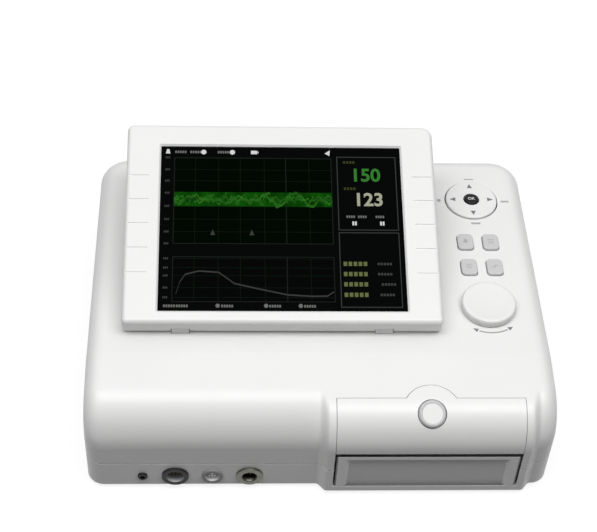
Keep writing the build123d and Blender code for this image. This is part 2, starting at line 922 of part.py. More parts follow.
def deck_bumpers():
    pads = []
    top = deck_height + bumper_height
    for side in (-1, 1):
        pad = rod_z(display_x + side * bumper_spread, bumper_y, (deck_height, top), bumper_radius)
        pads.append(round_top(pad, top, bumper_edge))
    return Compound(children=pads)


# Controls

def key_board_xs():
    return span(control_x, key_board_width)


def key_board_posts():
    xs = key_board_xs()
    ends = (key_board_front + key_post_inset, key_board_back - key_post_inset)
    return [(x, y) for x in (xs[0] + key_post_inset, xs[1] - key_post_inset) for y in ends]


def key_board():
    return block(key_board_xs(), (key_board_front, key_board_back), (key_board_top - board_thickness, key_board_top))


def pad_pivot_z():
    return deck_height - pad_pivot_depth


def direction_ring():
    top = deck_height + pad_rise
    low = top - pad_thickness
    ring = round_top(rod_z(control_x, pad_y, (low, top), pad_radius), top, pad_edge)
    ring -= rod_z(control_x, pad_y, (low - overrun, top + overrun), ok_radius + ok_hole_gap)
    for side in (-1, 1):
        xs = span(control_x + side * pad_ear_place, pad_ear_thickness)
        ring += block(xs, span(pad_y, pad_ear_width), (low - pad_ear_depth, low))
        ring -= rod_x(xs, pad_y, pad_pivot_z(), gimbal_pin_radius + running_gap)
    return ring


def pad_gimbal():
    """A flat ring with two pins across and two along, so that the direction ring rocks both ways."""
    zs = span(pad_pivot_z(), gimbal_thickness)
    gimbal = rod_z(control_x, pad_y, zs, gimbal_outer_radius)
    reach = pad_ear_place + pad_ear_thickness / 2
    gimbal += rod_x(span(control_x, 2 * reach), pad_y, pad_pivot_z(), gimbal_pin_radius)
    gimbal += rod_y(control_x, span(pad_y, 2 * reach), pad_pivot_z(), gimbal_pin_radius)
    return gimbal - rod_z(control_x, pad_y, (zs[0] - overrun, zs[1] + overrun), gimbal_inner_radius)


def pad_base():
    zs = (key_board_top, key_board_top + pad_base_thickness)
    base = rod_z(control_x, pad_y, zs, pad_base_radius)
    for side in (-1, 1):
        middle = pad_y + side * pad_ear_place
        arm = sorted((pad_y + side * ok_radius, middle + side * pad_ear_thickness / 2))
        base += block(span(control_x, pad_ear_width), arm, zs)
        top = pad_pivot_z() + gimbal_pin_radius + running_gap + notch_wall / 2
        base += block(span(control_x, pad_ear_width), span(middle, pad_ear_thickness), (key_board_top, top))
        base -= rod_y(control_x, span(middle, pad_ear_thickness), pad_pivot_z(), gimbal_pin_radius + running_gap)
    return base - rod_z(control_x, pad_y, (zs[0] - overrun, zs[1] + overrun), ok_radius)


def ok_button():
    top = deck_height + pad_rise + ok_rise
    ring_low = deck_height + pad_rise - pad_thickness
    flange_top = ring_low - ok_flange_gap
    button = round_top(rod_z(control_x, pad_y, (flange_top, top), ok_radius), top, ok_dome)
    button += rod_z(control_x, pad_y, (flange_top - ok_flange_thickness, flange_top), ok_flange_radius)
    return button + rod_z(control_x, pad_y, (key_board_top + key_travel, flange_top), ok_stem_radius)


def function_key(x, y):
    top = deck_height + key_rise
    flange_top = deck_inside - key_flange_gap
    key = slab(span(x, key_width), span(y, key_height), (flange_top, top), key_corner)
    key = round_top(key, top, key_edge)
    wide = (span(x, key_width + 2 * key_flange), span(y, key_height + 2 * key_flange))
    key += slab(*wide, (flange_top - key_flange_thickness, flange_top), key_corner)
    return key + rod_z(x, y, (key_board_top + key_travel + seat_gap, flange_top), key_stem_radius)


def knob():
    low = deck_height + knob_lift
    top = low + knob_height
    dial = round_top(rod_z(control_x, knob_y, (low, top), knob_radius), top, knob_edge)
    return dial + rod_z(control_x, knob_y, (key_board_top + knob_lift, low), knob_shaft_radius)


def knob_encoder():
    zs = (key_board_top, key_board_top + encoder_height)
    can = block(span(control_x, encoder_width), span(knob_y, encoder_width), zs)
    bore = (key_board_top + knob_lift / 2, zs[1] + overrun)
    return can - rod_z(control_x, knob_y, bore, knob_shaft_radius + running_gap)


# Recorder

def recorder_lid():
    lid = skin & opening_prism(seam_gap, lid_low)
    half = opening_width / 2 - seam_gap
    for side in (-1, 1):
        xs = sorted((recorder_x + side * half, recorder_x + side * (half - lid_ear_width)))
        ear = rod_x(xs, lid_hinge_y, lid_hinge_height, lid_ear_radius)
        ear += block(xs, (bulge_front, lid_hinge_y + lid_ear_radius), (lid_low, lid_ear_top))
        lid += ear & outer_form & opening_prism(seam_gap, lid_low)
        lid -= rod_x(xs, lid_hinge_y, lid_hinge_height, lid_pin_radius)
    rib_low = platen_z + platen_radius + head_gap + head_height
    rib_ys = (bulge_front, platen_y + head_depth / 2)
    rib = block(span(recorder_x, head_rib_width), rib_ys, (rib_low, rib_low + head_rib_thickness))
    lid += rib & outer_form
    sleeve = rod_z(0, 0, (-latch_sleeve_depth, wall), latch_hole_radius + latch_sleeve_wall)
    lid += (latch_place * sleeve) & outer_form
    return lid - latch_place * rod_z(0, 0, (-2 * latch_sleeve_depth, 2 * wall), latch_hole_radius)


def lid_pins():
    pins = []
    for side in (-1, 1):
        start = recorder_x + side * (opening_width / 2 - seam_gap - lid_ear_width)
        pin_xs = sorted((start, start + side * lid_pin_length))
        pins.append(rod_x(pin_xs, lid_hinge_y, lid_hinge_height, lid_pin_radius))
    return Compound(children=pins)


def latch_button():
    low = -latch_sleeve_depth - seat_gap
    button = rod_z(0, 0, (low, latch_rise - latch_bevel_height), latch_radius)
    bevel = Cone(latch_radius, latch_radius - latch_bevel_width, latch_bevel_height)
    button += Pos(0, 0, latch_rise - latch_bevel_height / 2) * bevel
    button += rod_z(0, 0, (low - latch_flange_thickness, low), latch_radius + latch_flange)
    button += rod_z(0, 0, (low - latch_flange_thickness - latch_stem_length, low), latch_stem_radius)
    return latch_place * button


def lid_hook():
    xs = span(recorder_x, hook_width)
    ys = span(hook_y, hook_thickness)
    hook = block(xs, ys, (hook_low, deck_height)) & inner_form
    return hook + block(xs, (ys[0], ys[1] + hook_nose), (hook_low, hook_low + hook_nose_height))


def catch_plate():
    xs = span(recorder_x, catch_width)
    nose_y = hook_y + hook_thickness / 2 + hook_nose + hook_gap
    plate_y = nose_y + hook_nose
    low = hook_low + hook_nose_height + catch_lift
    plate = block(xs, (plate_y, plate_y + hook_thickness), (low, deck_height)) & inner_form
    return plate + block(xs, (nose_y, plate_y + hook_thickness), (low, low + hook_nose_height))


def paper_ramp(xs, lip, rear):
    """What is cut away behind the drawer's upper lip, so that the paper slides over it."""
    low = drawer_top - drawer_ramp_drop
    above = drawer_top + overrun
    behind = rear + overrun
    outline = Polyline((lip, drawer_top), (rear, low), (behind, low), (behind, above), (lip, above), close=True)
    return extrude(Plane.YZ.offset(xs[0] - overrun) * make_face(outline), amount=xs[1] - xs[0] + 2 * overrun)


def drawer_front():
    """The drawer's face. Its shallow recess runs out at the lower edge."""
    xs = span(recorder_x, opening_width - 2 * drawer_side_gap)
    zs = (tray_low, drawer_top)
    rear = bulge_front + drawer_front_thickness
    panel = block(xs, (bulge_front, rear), zs)
    panel = fillet(edges_at(panel, Axis.Y, bulge_front), drawer_edge)
    panel -= paper_ramp(xs, bulge_front + drawer_lip, rear)
    inner_xs = (xs[0] + frame_border, xs[1] - frame_border)
    inner_zs = (zs[0] - frame_slope_width - overrun, zs[1] - frame_top_border)
    cut = tapered(inner_xs, inner_zs, (-frame_recess, 0), frame_slope_width)
    return panel - facing_front(0, bulge_front, 0).location * cut


def tray_ys():
    front = bulge_front + drawer_front_thickness
    return (front, front + tray_depth)


def drawer_tray():
    xs = span(recorder_x, 2 * tray_half_width)
    ys = tray_ys()
    tray = block(xs, ys, (tray_low, tray_top))
    room = (span(recorder_x, 2 * tray_half_width - 2 * tray_wall), (ys[0] + tray_wall, ys[1] - tray_wall))
    tray -= block(*room, (paper_low, tray_top + overrun))
    for side in (-1, 1):
        inner = recorder_x + side * tray_half_width
        rib_xs = sorted((inner, inner + side * runner_width))
        tray += block(rib_xs, ys, (runner_low, runner_low + runner_height))
    return tray


def paper_pack():
    front = tray_ys()[0] + tray_wall + paper_set_back
    ys = (front, front + paper_depth)
    return slab(span(recorder_x, paper_width), ys, (paper_low, tray_top - paper_head_room), paper_corner)


def drawer_rails():
    rails = []
    ys = (plate_front_y + plate_thickness, plate_back_y - plate_thickness)
    for side in (-1, 1):
        outer = recorder_x + side * plate_inner
        inner = recorder_x + side * (tray_half_width + rail_gap)
        rail = block(sorted((outer, inner)), ys, (runner_low - rail_margin, runner_low + runner_height + rail_margin))
        room = recorder_x + side * (tray_half_width + runner_width + rail_gap)
        groove_zs = (runner_low - rail_gap, runner_low + runner_height + rail_gap)
        rails.append(rail - block(sorted((room, inner - side * overrun)), (ys[0] - overrun, ys[1] + overrun), groove_zs))
    return Compound(children=rails)


def platen_place():
    return (platen_y, platen_z)


def motor_place():
    reach = gear_module * (platen_teeth + pinion_teeth) / 2 + gear_play
    angle = math.radians(gear_angle)
    return (platen_y + reach * math.cos(angle), platen_z + reach * math.sin(angle))


def gear_xs():
    start = recorder_x - plate_inner + gear_inset
    return (start, start + gear_width)


def spur_gear(teeth, turn, xs, place):
    """A spur gear with straight-sided teeth; turn is the angle of one tooth, from +Y towards +Z."""
    pitch = gear_module * teeth / 2
    root = pitch - root_share * gear_module
    lean = math.tan(math.radians(pressure_angle))
    half = (math.pi * gear_module / 2 - gear_backlash) / 2
    rows = (
        (root - gear_play, half + root_share * gear_module * lean),
        (pitch, half),
        (pitch + gear_module, half - gear_module * lean),
    )
    mirrored = [(radius, -width) for radius, width in reversed(rows)]
    tooth = make_face(Polyline(*rows, *mirrored, close=True))
    flat = Circle(root)
    for k in range(teeth):
        flat += Rot(0, 0, turn + 360 * k / teeth) * tooth
    plane = Plane(origin=(xs[0], *place), x_dir=(0, 1, 0), z_dir=(1, 0, 0))
    return extrude(plane * flat, amount=xs[1] - xs[0])


def platen_gear():
    gear = spur_gear(platen_teeth, gear_angle, gear_xs(), platen_place())
    return gear - rod_x(gear_xs(), *platen_place(), platen_shaft_radius)


def motor_pinion():
    """The pinion with its motor shaft. One of its gaps faces the platen gear."""
    turn = gear_angle + 180 + 180 / pinion_teeth
    pinion = spur_gear(pinion_teeth, turn, gear_xs(), motor_place())
    root = recorder_x - plate_inner - plate_thickness
    return pinion + rod_x((root - motor_shaft_depth, gear_xs()[1]), *motor_place(), motor_shaft_radius)


def feed_motor():
    end = recorder_x - plate_inner - plate_thickness
    can = rod_x((end - motor_length, end), *motor_place(), motor_radius)
    bore = (end - motor_shaft_depth - seat_gap, end + overrun)
    return can - rod_x(bore, *motor_place(), motor_shaft_radius + running_gap)


def platen_shaft():
    reach = plate_inner + plate_thickness - seat_gap
    return rod_x(span(recorder_x, 2 * reach), *platen_place(), platen_shaft_radius)


def platen_roller():
    xs = span(recorder_x, platen_length)
    return rod_x(xs, *platen_place(), platen_radius) - rod_x(xs, *platen_place(), platen_shaft_radius)


def print_head():
    low = platen_z + platen_radius + head_gap
    return block(span(recorder_x, head_width), span(platen_y, head_depth), (low, low + head_height))


def recorder_frame():
    outer = plate_inner + plate_thickness
    xs = span(recorder_x, 2 * outer)
    frame = block(xs, (plate_front_y, plate_back_y), (floor_top, plate_top))
    room = (span(recorder_x, 2 * plate_inner), (plate_front_y - overrun, plate_back_y - plate_thickness))
    frame -= block(*room, (floor_top - overrun, plate_top + overrun))
    frame -= rod_x((xs[0] - overrun, xs[1] + overrun), *platen_place(), platen_shaft_radius + running_gap)
    left = (xs[0] - overrun, xs[0] + plate_thickness + overrun)
    return frame - rod_x(left, *motor_place(), motor_shaft_radius + running_gap)


# Sockets

def socket(x, flange_radius, barrel_radius, bore_radius):
    front = body_front - socket_flange_thickness
    back = front + socket_length
    flange = rod_y(x, (front, body_front), socket_z, flange_radius)
    flange = fillet(edges_at(flange, Axis.Y, front), socket_edge)
    body = flange + rod_y(x, (front, back), socket_z, barrel_radius)
    body -= rod_y(x, (front - overrun, back), socket_z, bore_radius)
    return body - rod_y(x, (front + socket_bore_depth, back + overrun), socket_z, bore_radius + socket_insert_step)


def socket_inserts():
    """The contact faces at the bottom of the sockets."""
    start = body_front - socket_flange_thickness + socket_bore_depth
    ys = (start, start + socket_insert_thickness)
    return Compound(children=[rod_y(x, ys, socket_z, bore + socket_insert_step) for _, x, _, _, bore in sockets])


def socket_board():
    """The upright board that the sockets end on."""
    front = body_front - socket_flange_thickness + socket_length
    xs = (marker_x - marker_barrel_radius - socket_board_margin, toco_x + toco_barrel_radius + socket_board_margin)
    return block(xs, (front, front + board_thickness), (floor_top, floor_top + socket_board_height))


# Rear panel

panel_face = body_back - wall
panel_back = panel_face - rear_panel_thickness


def rear_panel():
    xs = span(rear_panel_x, rear_panel_width + 2 * rear_panel_overlap)
    zs = (rear_panel_low - rear_panel_overlap, rear_panel_high + rear_panel_overlap)
    panel = block(xs, (panel_back, panel_face), zs)
    through = (panel_back - overrun, panel_face + overrun)
    panel -= block(span(inlet_x, inlet_width), through, span(port_z, inlet_height))
    panel -= block(span(switch_x, switch_width), through, span(port_z, switch_height))
    panel -= block(span(data_x, data_width), through, span(port_z, data_height))
    for side in (-1, 1):
        panel -= rod_y(fuse_x, through, port_z + side * fuse_spread, fuse_barrel_radius)
    return panel - rod_y(earth_x, through, port_z, earth_radius)


def mains_inlet():
    front = panel_face + inlet_flange_thickness
    flange = (span(inlet_x, inlet_width + 2 * inlet_flange), (panel_face, front))
    body = block(*flange, span(port_z, inlet_height + 2 * inlet_flange))
    body += block(span(inlet_x, inlet_width), (front - inlet_depth, front), span(port_z, inlet_height))
    plan = RectangleRounded(inlet_cavity_width, inlet_cavity_height, inlet_cavity_corner)
    mouth = facing_front(inlet_x, front, port_z)
    return body - extrude(mouth * plan, amount=inlet_cavity_depth)


def inlet_blades():
    ys = (blade_root_y, blade_root_y + blade_length)
    places = ((-blade_spread, blade_lift), (blade_spread, blade_lift), (0, earth_blade_lift))
    blades = [
        block(span(inlet_x + x, blade_width), ys, span(port_z + z, blade_thickness)) for x, z in places
    ]
    return Compound(children=blades)


def switch_frame():
    front = panel_face + inlet_flange_thickness
    xs = span(switch_x, switch_width + 2 * inlet_flange)
    body = block(xs, (panel_face, front), span(port_z, switch_height + 2 * inlet_flange))
    body += block(span(switch_x, switch_width), (front - switch_depth, front), span(port_z, switch_height))
    room = (span(switch_x, switch_pocket_width), (front - switch_pocket_depth, front + overrun))
    body -= block(*room, span(port_z, switch_pocket_height))
    pins = span(switch_x, rocker_pin_length + 2 * running_gap)
    return body - rod_x(pins, front - rocker_pivot_depth, port_z, rocker_pin_radius + running_gap)


def power_rocker():
    """A rocker that rests tipped one way. Drawn round its pivot, with Y outwards."""
    face = rocker_pivot_depth
    outline = Polyline(
        (face + rocker_rise, rocker_half_height),
        (face + rocker_rise - rocker_dip, 0),
        (face + rocker_rise, -rocker_half_height),
        (0, -rocker_half_height + rocker_dip),
        (rocker_pivot_depth - rocker_root_depth, -rocker_root_half),
        (rocker_pivot_depth - rocker_root_depth, rocker_root_half),
        (0, rocker_half_height - rocker_dip),
        close=True,
    )
    side = Plane.YZ.offset(-rocker_width / 2)
    rocker = extrude(side * make_face(outline), amount=rocker_width)
    rocker += rod_x(span(0, rocker_pin_length), 0, 0, rocker_pin_radius)
    pivot_y = panel_face + inlet_flange_thickness - rocker_pivot_depth
    return Pos(switch_x, pivot_y, port_z) * Rot(-rocker_angle, 0, 0) * rocker


def fuse_holders():
    holders = []
    front = panel_face + fuse_flange_thickness
    for side in (-1, 1):
        z = port_z + side * fuse_spread
        cap = rod_y(fuse_x, (panel_face, front), z, fuse_radius)
        cap += rod_y(fuse_x, (front - fuse_length, front), z, fuse_barrel_radius)
        slot = (span(fuse_x, 2 * fuse_radius), (front - fuse_slot_depth, front + overrun))
        holders.append(cap - block(*slot, span(z, fuse_slot_width)))
    return Compound(children=holders)


def earth_post():
    """The post for an earth lead stands out behind as far as the bulge does in front."""
    post = rod_y(earth_x, (panel_back - earth_root_length, -bulge_front), port_z, earth_radius)
    return post + rod_y(earth_x, (panel_face, panel_face + earth_collar_height), port_z, earth_collar_radius)


def data_port():
    front = panel_face + inlet_flange_thickness
    xs = span(data_x, data_width + 2 * inlet_flange)
    body = block(xs, (panel_face, front), span(port_z, data_height + 2 * inlet_flange))
    body += block(span(data_x, data_width), (front - data_depth, front), span(port_z, data_height))
    room = (span(data_x, data_cavity_width), (front - data_cavity_depth, front + overrun))
    return body - block(*room, span(port_z, data_cavity_height))


# Underside

def rubber_feet():
    feet = []
    for x in (-foot_x, foot_x):
        for y in (-foot_y, foot_y):
            foot = rod_z(x, y, (0, body_bottom), foot_radius)
            feet.append(round_top(foot, 0, foot_edge))
    return Compound(children=feet)


def battery_cover():
    size = battery_size + 2 * battery_cover_margin
    return block(span(battery_x, size), span(battery_y, size), (body_bottom, body_bottom + battery_cover_thickness))


def battery_pack():
    low = body_bottom + battery_cover_thickness
    return slab(span(battery_x, battery_size), span(battery_y, battery_size), (low, low + battery_height), paper_corner)


def speaker():
    zs = (floor_top, floor_top + speaker_rim_height)
    body = rod_z(speaker_x, speaker_y, zs, speaker_radius)
    return body + rod_z(speaker_x, speaker_y, (floor_top, floor_top + speaker_height), speaker_magnet_radius)


def housing_screws():
    screws = []
    head_low = body_bottom + housing_screw_recess
    for x, y in post_places:
        head = rod_z(x, y, (head_low, head_low + housing_head_height), housing_head_radius)
        screws.append(head + rod_z(x, y, (head_low, head_low + housing_screw_length), housing_screw_radius))
    return Compound(children=screws)


# Boards and supply

def posts_under(left, width, front, depth, top):
    xs = (left + board_post_inset, left + width - board_post_inset)
    ys = (front + board_post_inset, front + depth - board_post_inset)
    return [((x, top), y) for x in xs for y in ys]


def main_board_posts():
    return posts_under(main_board_left, main_board_width, main_board_front, main_board_depth, main_board_z)


def supply_posts():
    return posts_under(supply_left, supply_width, supply_front, supply_depth, floor_top + supply_lift)


def main_board():
    top = main_board_z + board_thickness
    xs = (main_board_left, main_board_left + main_board_width)
    ys = (main_board_front, main_board_front + main_board_depth)
    board = block(xs, ys, (main_board_z, top))
    middle_x = (xs[0] + xs[1]) / 2
    for x in (xs[0] + chip_size, middle_x, xs[1] - chip_size):
        board += block(span(x, chip_size), span((ys[0] + ys[1]) / 2, chip_size), (top, top + chip_height))
    edge = (ys[1] - connector_depth, ys[1])
    return board + block(span(middle_x, connector_width), edge, (top, top + connector_height))


def power_supply():
    low = floor_top + supply_lift
    xs = (supply_left, supply_left + supply_width)
    ys = (supply_front, supply_front + supply_depth)
    case = slab(xs, ys, (low, low + supply_height), supply_corner)
    inside_xs = (xs[0] + supply_wall, xs[1] - supply_wall)
    inside_ys = (ys[0] + supply_wall, ys[1] - supply_wall)
    return case - block(inside_xs, inside_ys, (low + supply_wall, low + supply_height - supply_wall))


parts = {
    "upper_housing": upper_housing(),
    "lower_housing": lower_housing(),
    "rubber_feet": rubber_feet(),
    "housing_screws": housing_screws(),
    "battery_cover": battery_cover(),
    "battery_pack": battery_pack(),
    "speaker": speaker(),
    "main_board": main_board(),
    "power_supply": power_supply(),
    "rear_panel": rear_panel(),
    "mains_inlet": mains_inlet(),
    "inlet_blades": inlet_blades(),
    "switch_frame": switch_frame(),
    "power_rocker": power_rocker(),
    "fuse_holders": fuse_holders(),
    "earth_post": earth_post(),
    "data_port": data_port(),
    "hinge_brackets": hinge_brackets(),
    "bracket_screws": bracket_screws(),
    "deck_bumpers": deck_bumpers(),
    "front_bezel": display_place * front_bezel(),
    "display_window": display_place * display_window(),
    "lcd_panel": display_place * lcd_panel(),
    "display_board": display_place * display_board(),
    "display_rear_shell": display_place * display_rear_shell(),
    "display_screws": display_place * display_screw_set(),
    "hinge_pins": display_place * hinge_pins(),
    "key_board": key_board(),
    "pad_base": pad_base(),
    "pad_gimbal": pad_gimbal(),
    "direction_ring": direction_ring(),
    "ok_button": ok_button(),
    "knob": knob(),
    "knob_encoder": knob_encoder(),
    "recorder_lid": recorder_lid(),
    "lid_pins": lid_pins(),
    "lid_hook": lid_hook(),
    "catch_plate": catch_plate(),
    "latch_button": latch_button(),
    "print_head": print_head(),
    "drawer_front": drawer_front(),
    "drawer_tray": drawer_tray(),
    "paper_pack": paper_pack(),
    "drawer_rails": drawer_rails(),
    "recorder_frame": recorder_frame(),
    "platen_roller": platen_roller(),
    "platen_shaft": platen_shaft(),
    "platen_gear": platen_gear(),
    "motor_pinion": motor_pinion(),
    "feed_motor": feed_motor(),
    "socket_inserts": socket_inserts(),
    "socket_board": socket_board(),
}
for number, (x, y) in enumerate(key_places, 1):
    parts[f"function_key_{number}"] = function_key(x, y)
for name, x, flange_radius, barrel_radius, bore_radius in sockets:
    parts[name] = socket(x, flange_radius, barrel_radius, bore_radius)

os.makedirs("parts", exist_ok=True)
for name, shape in parts.items():
    export_step(shape, f"parts/{name}.step")
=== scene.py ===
import bmesh
import bpy
import json
import math
from mathutils import Matrix, Vector


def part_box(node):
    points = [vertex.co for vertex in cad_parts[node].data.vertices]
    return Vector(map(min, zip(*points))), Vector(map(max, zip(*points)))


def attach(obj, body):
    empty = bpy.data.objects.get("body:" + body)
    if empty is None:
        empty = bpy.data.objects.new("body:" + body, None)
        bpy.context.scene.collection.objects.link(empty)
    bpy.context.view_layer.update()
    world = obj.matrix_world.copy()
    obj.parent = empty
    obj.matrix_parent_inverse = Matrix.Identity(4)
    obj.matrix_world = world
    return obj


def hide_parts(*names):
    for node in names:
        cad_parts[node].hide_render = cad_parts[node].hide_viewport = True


# The looks of a desk-top fetal monitor. Metres, X right, Y away from the user, Z up, as in the frame.

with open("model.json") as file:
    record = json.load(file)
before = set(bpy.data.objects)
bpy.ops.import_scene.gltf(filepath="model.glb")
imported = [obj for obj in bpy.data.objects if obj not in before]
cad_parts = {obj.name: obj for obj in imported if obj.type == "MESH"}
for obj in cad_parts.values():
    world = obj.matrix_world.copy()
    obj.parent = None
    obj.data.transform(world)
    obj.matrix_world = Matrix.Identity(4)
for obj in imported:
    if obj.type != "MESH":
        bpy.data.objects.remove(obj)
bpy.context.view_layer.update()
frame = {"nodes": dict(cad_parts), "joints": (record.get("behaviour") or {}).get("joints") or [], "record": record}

MM = 0.001
screen_width = 170.4 * MM
screen_height = 127.8 * MM
pane_thickness = 1.5 * MM
deck_z = 82 * MM               # the height of the deck
ink = 0.03 * MM                # the thickness of a print or of a part of the picture
lift = 0.04 * MM               # the air between two layers of the picture
print_lift = lift / 4          # and under a print on the housing
hair = 0.4 * MM                # the width of a grid line
frame_line = 0.6 * MM          # and of a frame round a chart
circle_steps = 48
cloud_size = 45 * MM           # the patches in the colour of a moulding
wear_size = 9 * MM             # and in its gloss
grain_depth = 0.012 * MM
grain_size = 0.35 * MM


def middle(node):
    low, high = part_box(node)
    return (low + high) / 2


def top_of(node):
    """The middle of a node's top, seen from above."""
    spot = middle(node)
    spot.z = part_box(node)[1].z
    return spot


def far_face(node, way):
    """The middle of a node's flat end, looking the way that it faces."""
    spots = [vertex.co for vertex in frame["nodes"][node].data.vertices]
    reach = max(spot.dot(way) for spot in spots)
    rim = [spot for spot in spots if spot.dot(way) > reach - ink]
    return (Vector(map(min, *rim)) + Vector(map(max, *rim))) / 2


pad = top_of("direction_ring")
key_numbers = (1, 2, 3, 4)


# Nodes and the sums that join them

class Value:
    """A node's output. It takes part in a sum as a number does."""

    def __init__(self, nodes, output):
        self.nodes = nodes
        self.output = output

    def sum(self, operation, first, second):
        return self.nodes.node("ShaderNodeMath", {"operation": operation}, {0: first, 1: second})

    def __add__(self, other):
        return self.sum("ADD", self, other)

    def __sub__(self, other):
        return self.sum("SUBTRACT", self, other)

    def __mul__(self, other):
        return self.sum("MULTIPLY", self, other)

    def __truediv__(self, other):
        return self.sum("DIVIDE", self, other)

    def __lt__(self, other):
        return self.sum("LESS_THAN", self, other)

    def __gt__(self, other):
        return self.sum("GREATER_THAN", self, other)

    def __rsub__(self, other):
        return self.sum("SUBTRACT", other, self)

    __radd__ = __add__
    __rmul__ = __mul__

    def wave(self, pitch):
        """A saw that runs from 0 to 1 once in every pitch."""
        return self.sum("FRACT", self / pitch, 0)


class Nodes:
    """A node tree that is filled one node at a time."""

    def __init__(self, tree):
        self.tree = tree

    def node(self, kind, settings=None, sockets=None, output=0):
        made = self.tree.nodes.new(kind)
        for name, value in (settings or {}).items():
            setattr(made, name, value)
        for name, value in (sockets or {}).items():
            self.feed(made.inputs[name], value)
        return Value(self, made.outputs[output])

    def feed(self, socket, value):
        if isinstance(value, Value):
            self.tree.links.new(value.output, socket)
        else:
            socket.default_value = value


class Finish(Nodes):
    """A material. What varies over the surface is fed to its shader by show."""

    def __init__(self, name, **steady):
        self.material = bpy.data.materials.new(name)
        self.material.use_nodes = True
        super().__init__(self.material.node_tree)
        self.shader = self.tree.nodes["Principled BSDF"]
        for socket, value in steady.items():
            self.shader.inputs[socket.replace("_", " ")].default_value = value

    def show(self, socket, value):
        self.feed(self.shader.inputs[socket], value)

    def place(self):
        return self.node("ShaderNodeTexCoord", output="Object")

    def along(self, axis):
        return self.node("ShaderNodeSeparateXYZ", {}, {0: self.place()}, axis)

    def noise(self, size, detail=2.0, stretch=(1, 1, 1)):
        """A cloudy pattern from 0 to 1 whose patches are about one size across."""
        spot = self.node("ShaderNodeMapping", {}, {"Vector": self.place(), "Scale": stretch})
        return self.node("ShaderNodeTexNoise", {}, {"Vector": spot, "Scale": 1 / size, "Detail": detail})

    def mix(self, share, first, second):
        """Two plain colours, mixed by a share."""
        settings = {"data_type": "RGBA"}
        return self.node("ShaderNodeMix", settings, {0: share, 6: (*first, 1), 7: (*second, 1)}, 2)

    def blend(self, share, first, second):
        """Two colours, each of them plain or itself a mixed one."""
        return self.node("ShaderNodeMix", {"data_type": "RGBA"}, {0: share, 6: first, 7: second}, 2)

    def relief(self, height, depth):
        """Fine relief that the shader shows and the mesh doesn't have."""
        sockets = {"Height": height, "Distance": depth, "Strength": 1.0}
        self.show("Normal", self.node("ShaderNodeBump", {}, sockets))


# Finishes

def moulded_plastic(name, colour, roughness, sparkle=grain_size, gloss=0.5):
    """Moulded plastic with a spark-eroded grain and a faint cloudiness."""
    finish = Finish(name, Specular_IOR_Level=gloss)
    shade = [part * 0.965 for part in colour]
    finish.show("Base Color", finish.mix(finish.noise(cloud_size), shade, colour))
    finish.show("Roughness", roughness + 0.12 * finish.noise(wear_size) - 0.06)
    finish.relief(finish.noise(sparkle, 1.0), grain_depth)
    return finish


def drawer_plastic():
    """White plastic. The panel set back in the face is painted light grey as the shade in its recess, and dark
    strips down the sides are painted shade of the gaps.
    """
    finish = Finish("drawer_plastic", Specular_IOR_Level=0.5)
    low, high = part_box("drawer_front")
    panel_depth, gap_shade_width = 1.5 * MM, 1.1 * MM
    # Painted shade: the light grey stands for shade in the panel's recess, and the near-black for shade in the
    # gaps down the drawer's sides.
    recess_shade_grey, gap_shade_black = (0.6, 0.6, 0.605, 1), (0.03, 0.03, 0.031, 1)
    panel = finish.along("Y") > low.y + panel_depth
    gap_shade = (finish.along("X") < low.x + gap_shade_width) + (finish.along("X") > high.x - gap_shade_width)
    white = finish.mix(finish.noise(cloud_size), (0.753, 0.753, 0.748), (0.78, 0.78, 0.775))
    body = finish.blend(panel, white, recess_shade_grey)
    finish.show("Base Color", finish.blend(gap_shade, body, gap_shade_black))
    finish.show("Roughness", 0.27 + 0.12 * finish.noise(wear_size) + 0.1 * panel)
    finish.relief(finish.noise(grain_size, 1.0), grain_depth)
    return finish


def pane_glass():
    """The dark cover of the picture, with a trace of wiping in its gloss."""
    finish = Finish("pane_glass", Specular_IOR_Level=0.02)
    smear = finish.noise(22 * MM, 3.0, (1, 3, 1))
    finish.show("Base Color", finish.mix(smear, (0.0004, 0.0006, 0.0006), (0.0008, 0.001, 0.001)))
    finish.show("Roughness", 0.08 + 0.1 * smear)
    return finish


def soft_rubber():
    finish = Finish("soft_rubber", Specular_IOR_Level=0.3)
    dust = finish.noise(3 * MM, 4.0)
    finish.show("Base Color", finish.mix(dust, (0.02, 0.02, 0.021), (0.045, 0.044, 0.043)))
    finish.show("Roughness", 0.7 + 0.2 * dust)
    finish.relief(finish.noise(0.5 * MM), 0.03 * MM)
    return finish


def drawn_steel():
    """Bright steel with fine drawing lines."""
    finish = Finish("drawn_steel")
    lines = finish.noise(0.5 * MM, 2.0, (0.04, 1, 1))
    finish.show("Base Color", finish.mix(lines, (0.5, 0.5, 0.51), (0.68, 0.68, 0.69)))
    finish.show("Metallic", 1.0)
    finish.show("Roughness", 0.24 + 0.2 * lines)
    finish.relief(lines, 0.01 * MM)
    return finish


def dull_nickel():
    """Plated metal of the contraction socket, a little tarnished."""
    finish = Finish("dull_nickel")
    tarnish = finish.noise(2.2 * MM, 3.0)
    finish.show("Base Color", finish.mix(tarnish, (0.09, 0.092, 0.076), (0.22, 0.222, 0.19)))
    finish.show("Metallic", 1.0)
    finish.show("Roughness", 0.34 + 0.2 * tarnish)
    finish.relief(finish.noise(0.6 * MM), 0.012 * MM)
    return finish


def folded_aluminium():
    finish = Finish("folded_aluminium")
    bloom = finish.noise(7 * MM, 4.0)
    finish.show("Base Color", finish.mix(bloom, (0.62, 0.63, 0.64), (0.74, 0.75, 0.76)))
    finish.show("Metallic", 1.0)
    finish.show("Roughness", 0.38 + 0.16 * bloom)
    finish.relief(finish.noise(0.4 * MM), 0.015 * MM)
    return finish


def contact_brass():
    finish = Finish("contact_brass")
    tarnish = finish.noise(1.6 * MM, 4.0)
    finish.show("Base Color", finish.mix(tarnish, (0.5, 0.33, 0.12), (0.72, 0.5, 0.2)))
    finish.show("Metallic", 1.0)
    finish.show("Roughness", 0.22 + 0.25 * tarnish)
    return finish


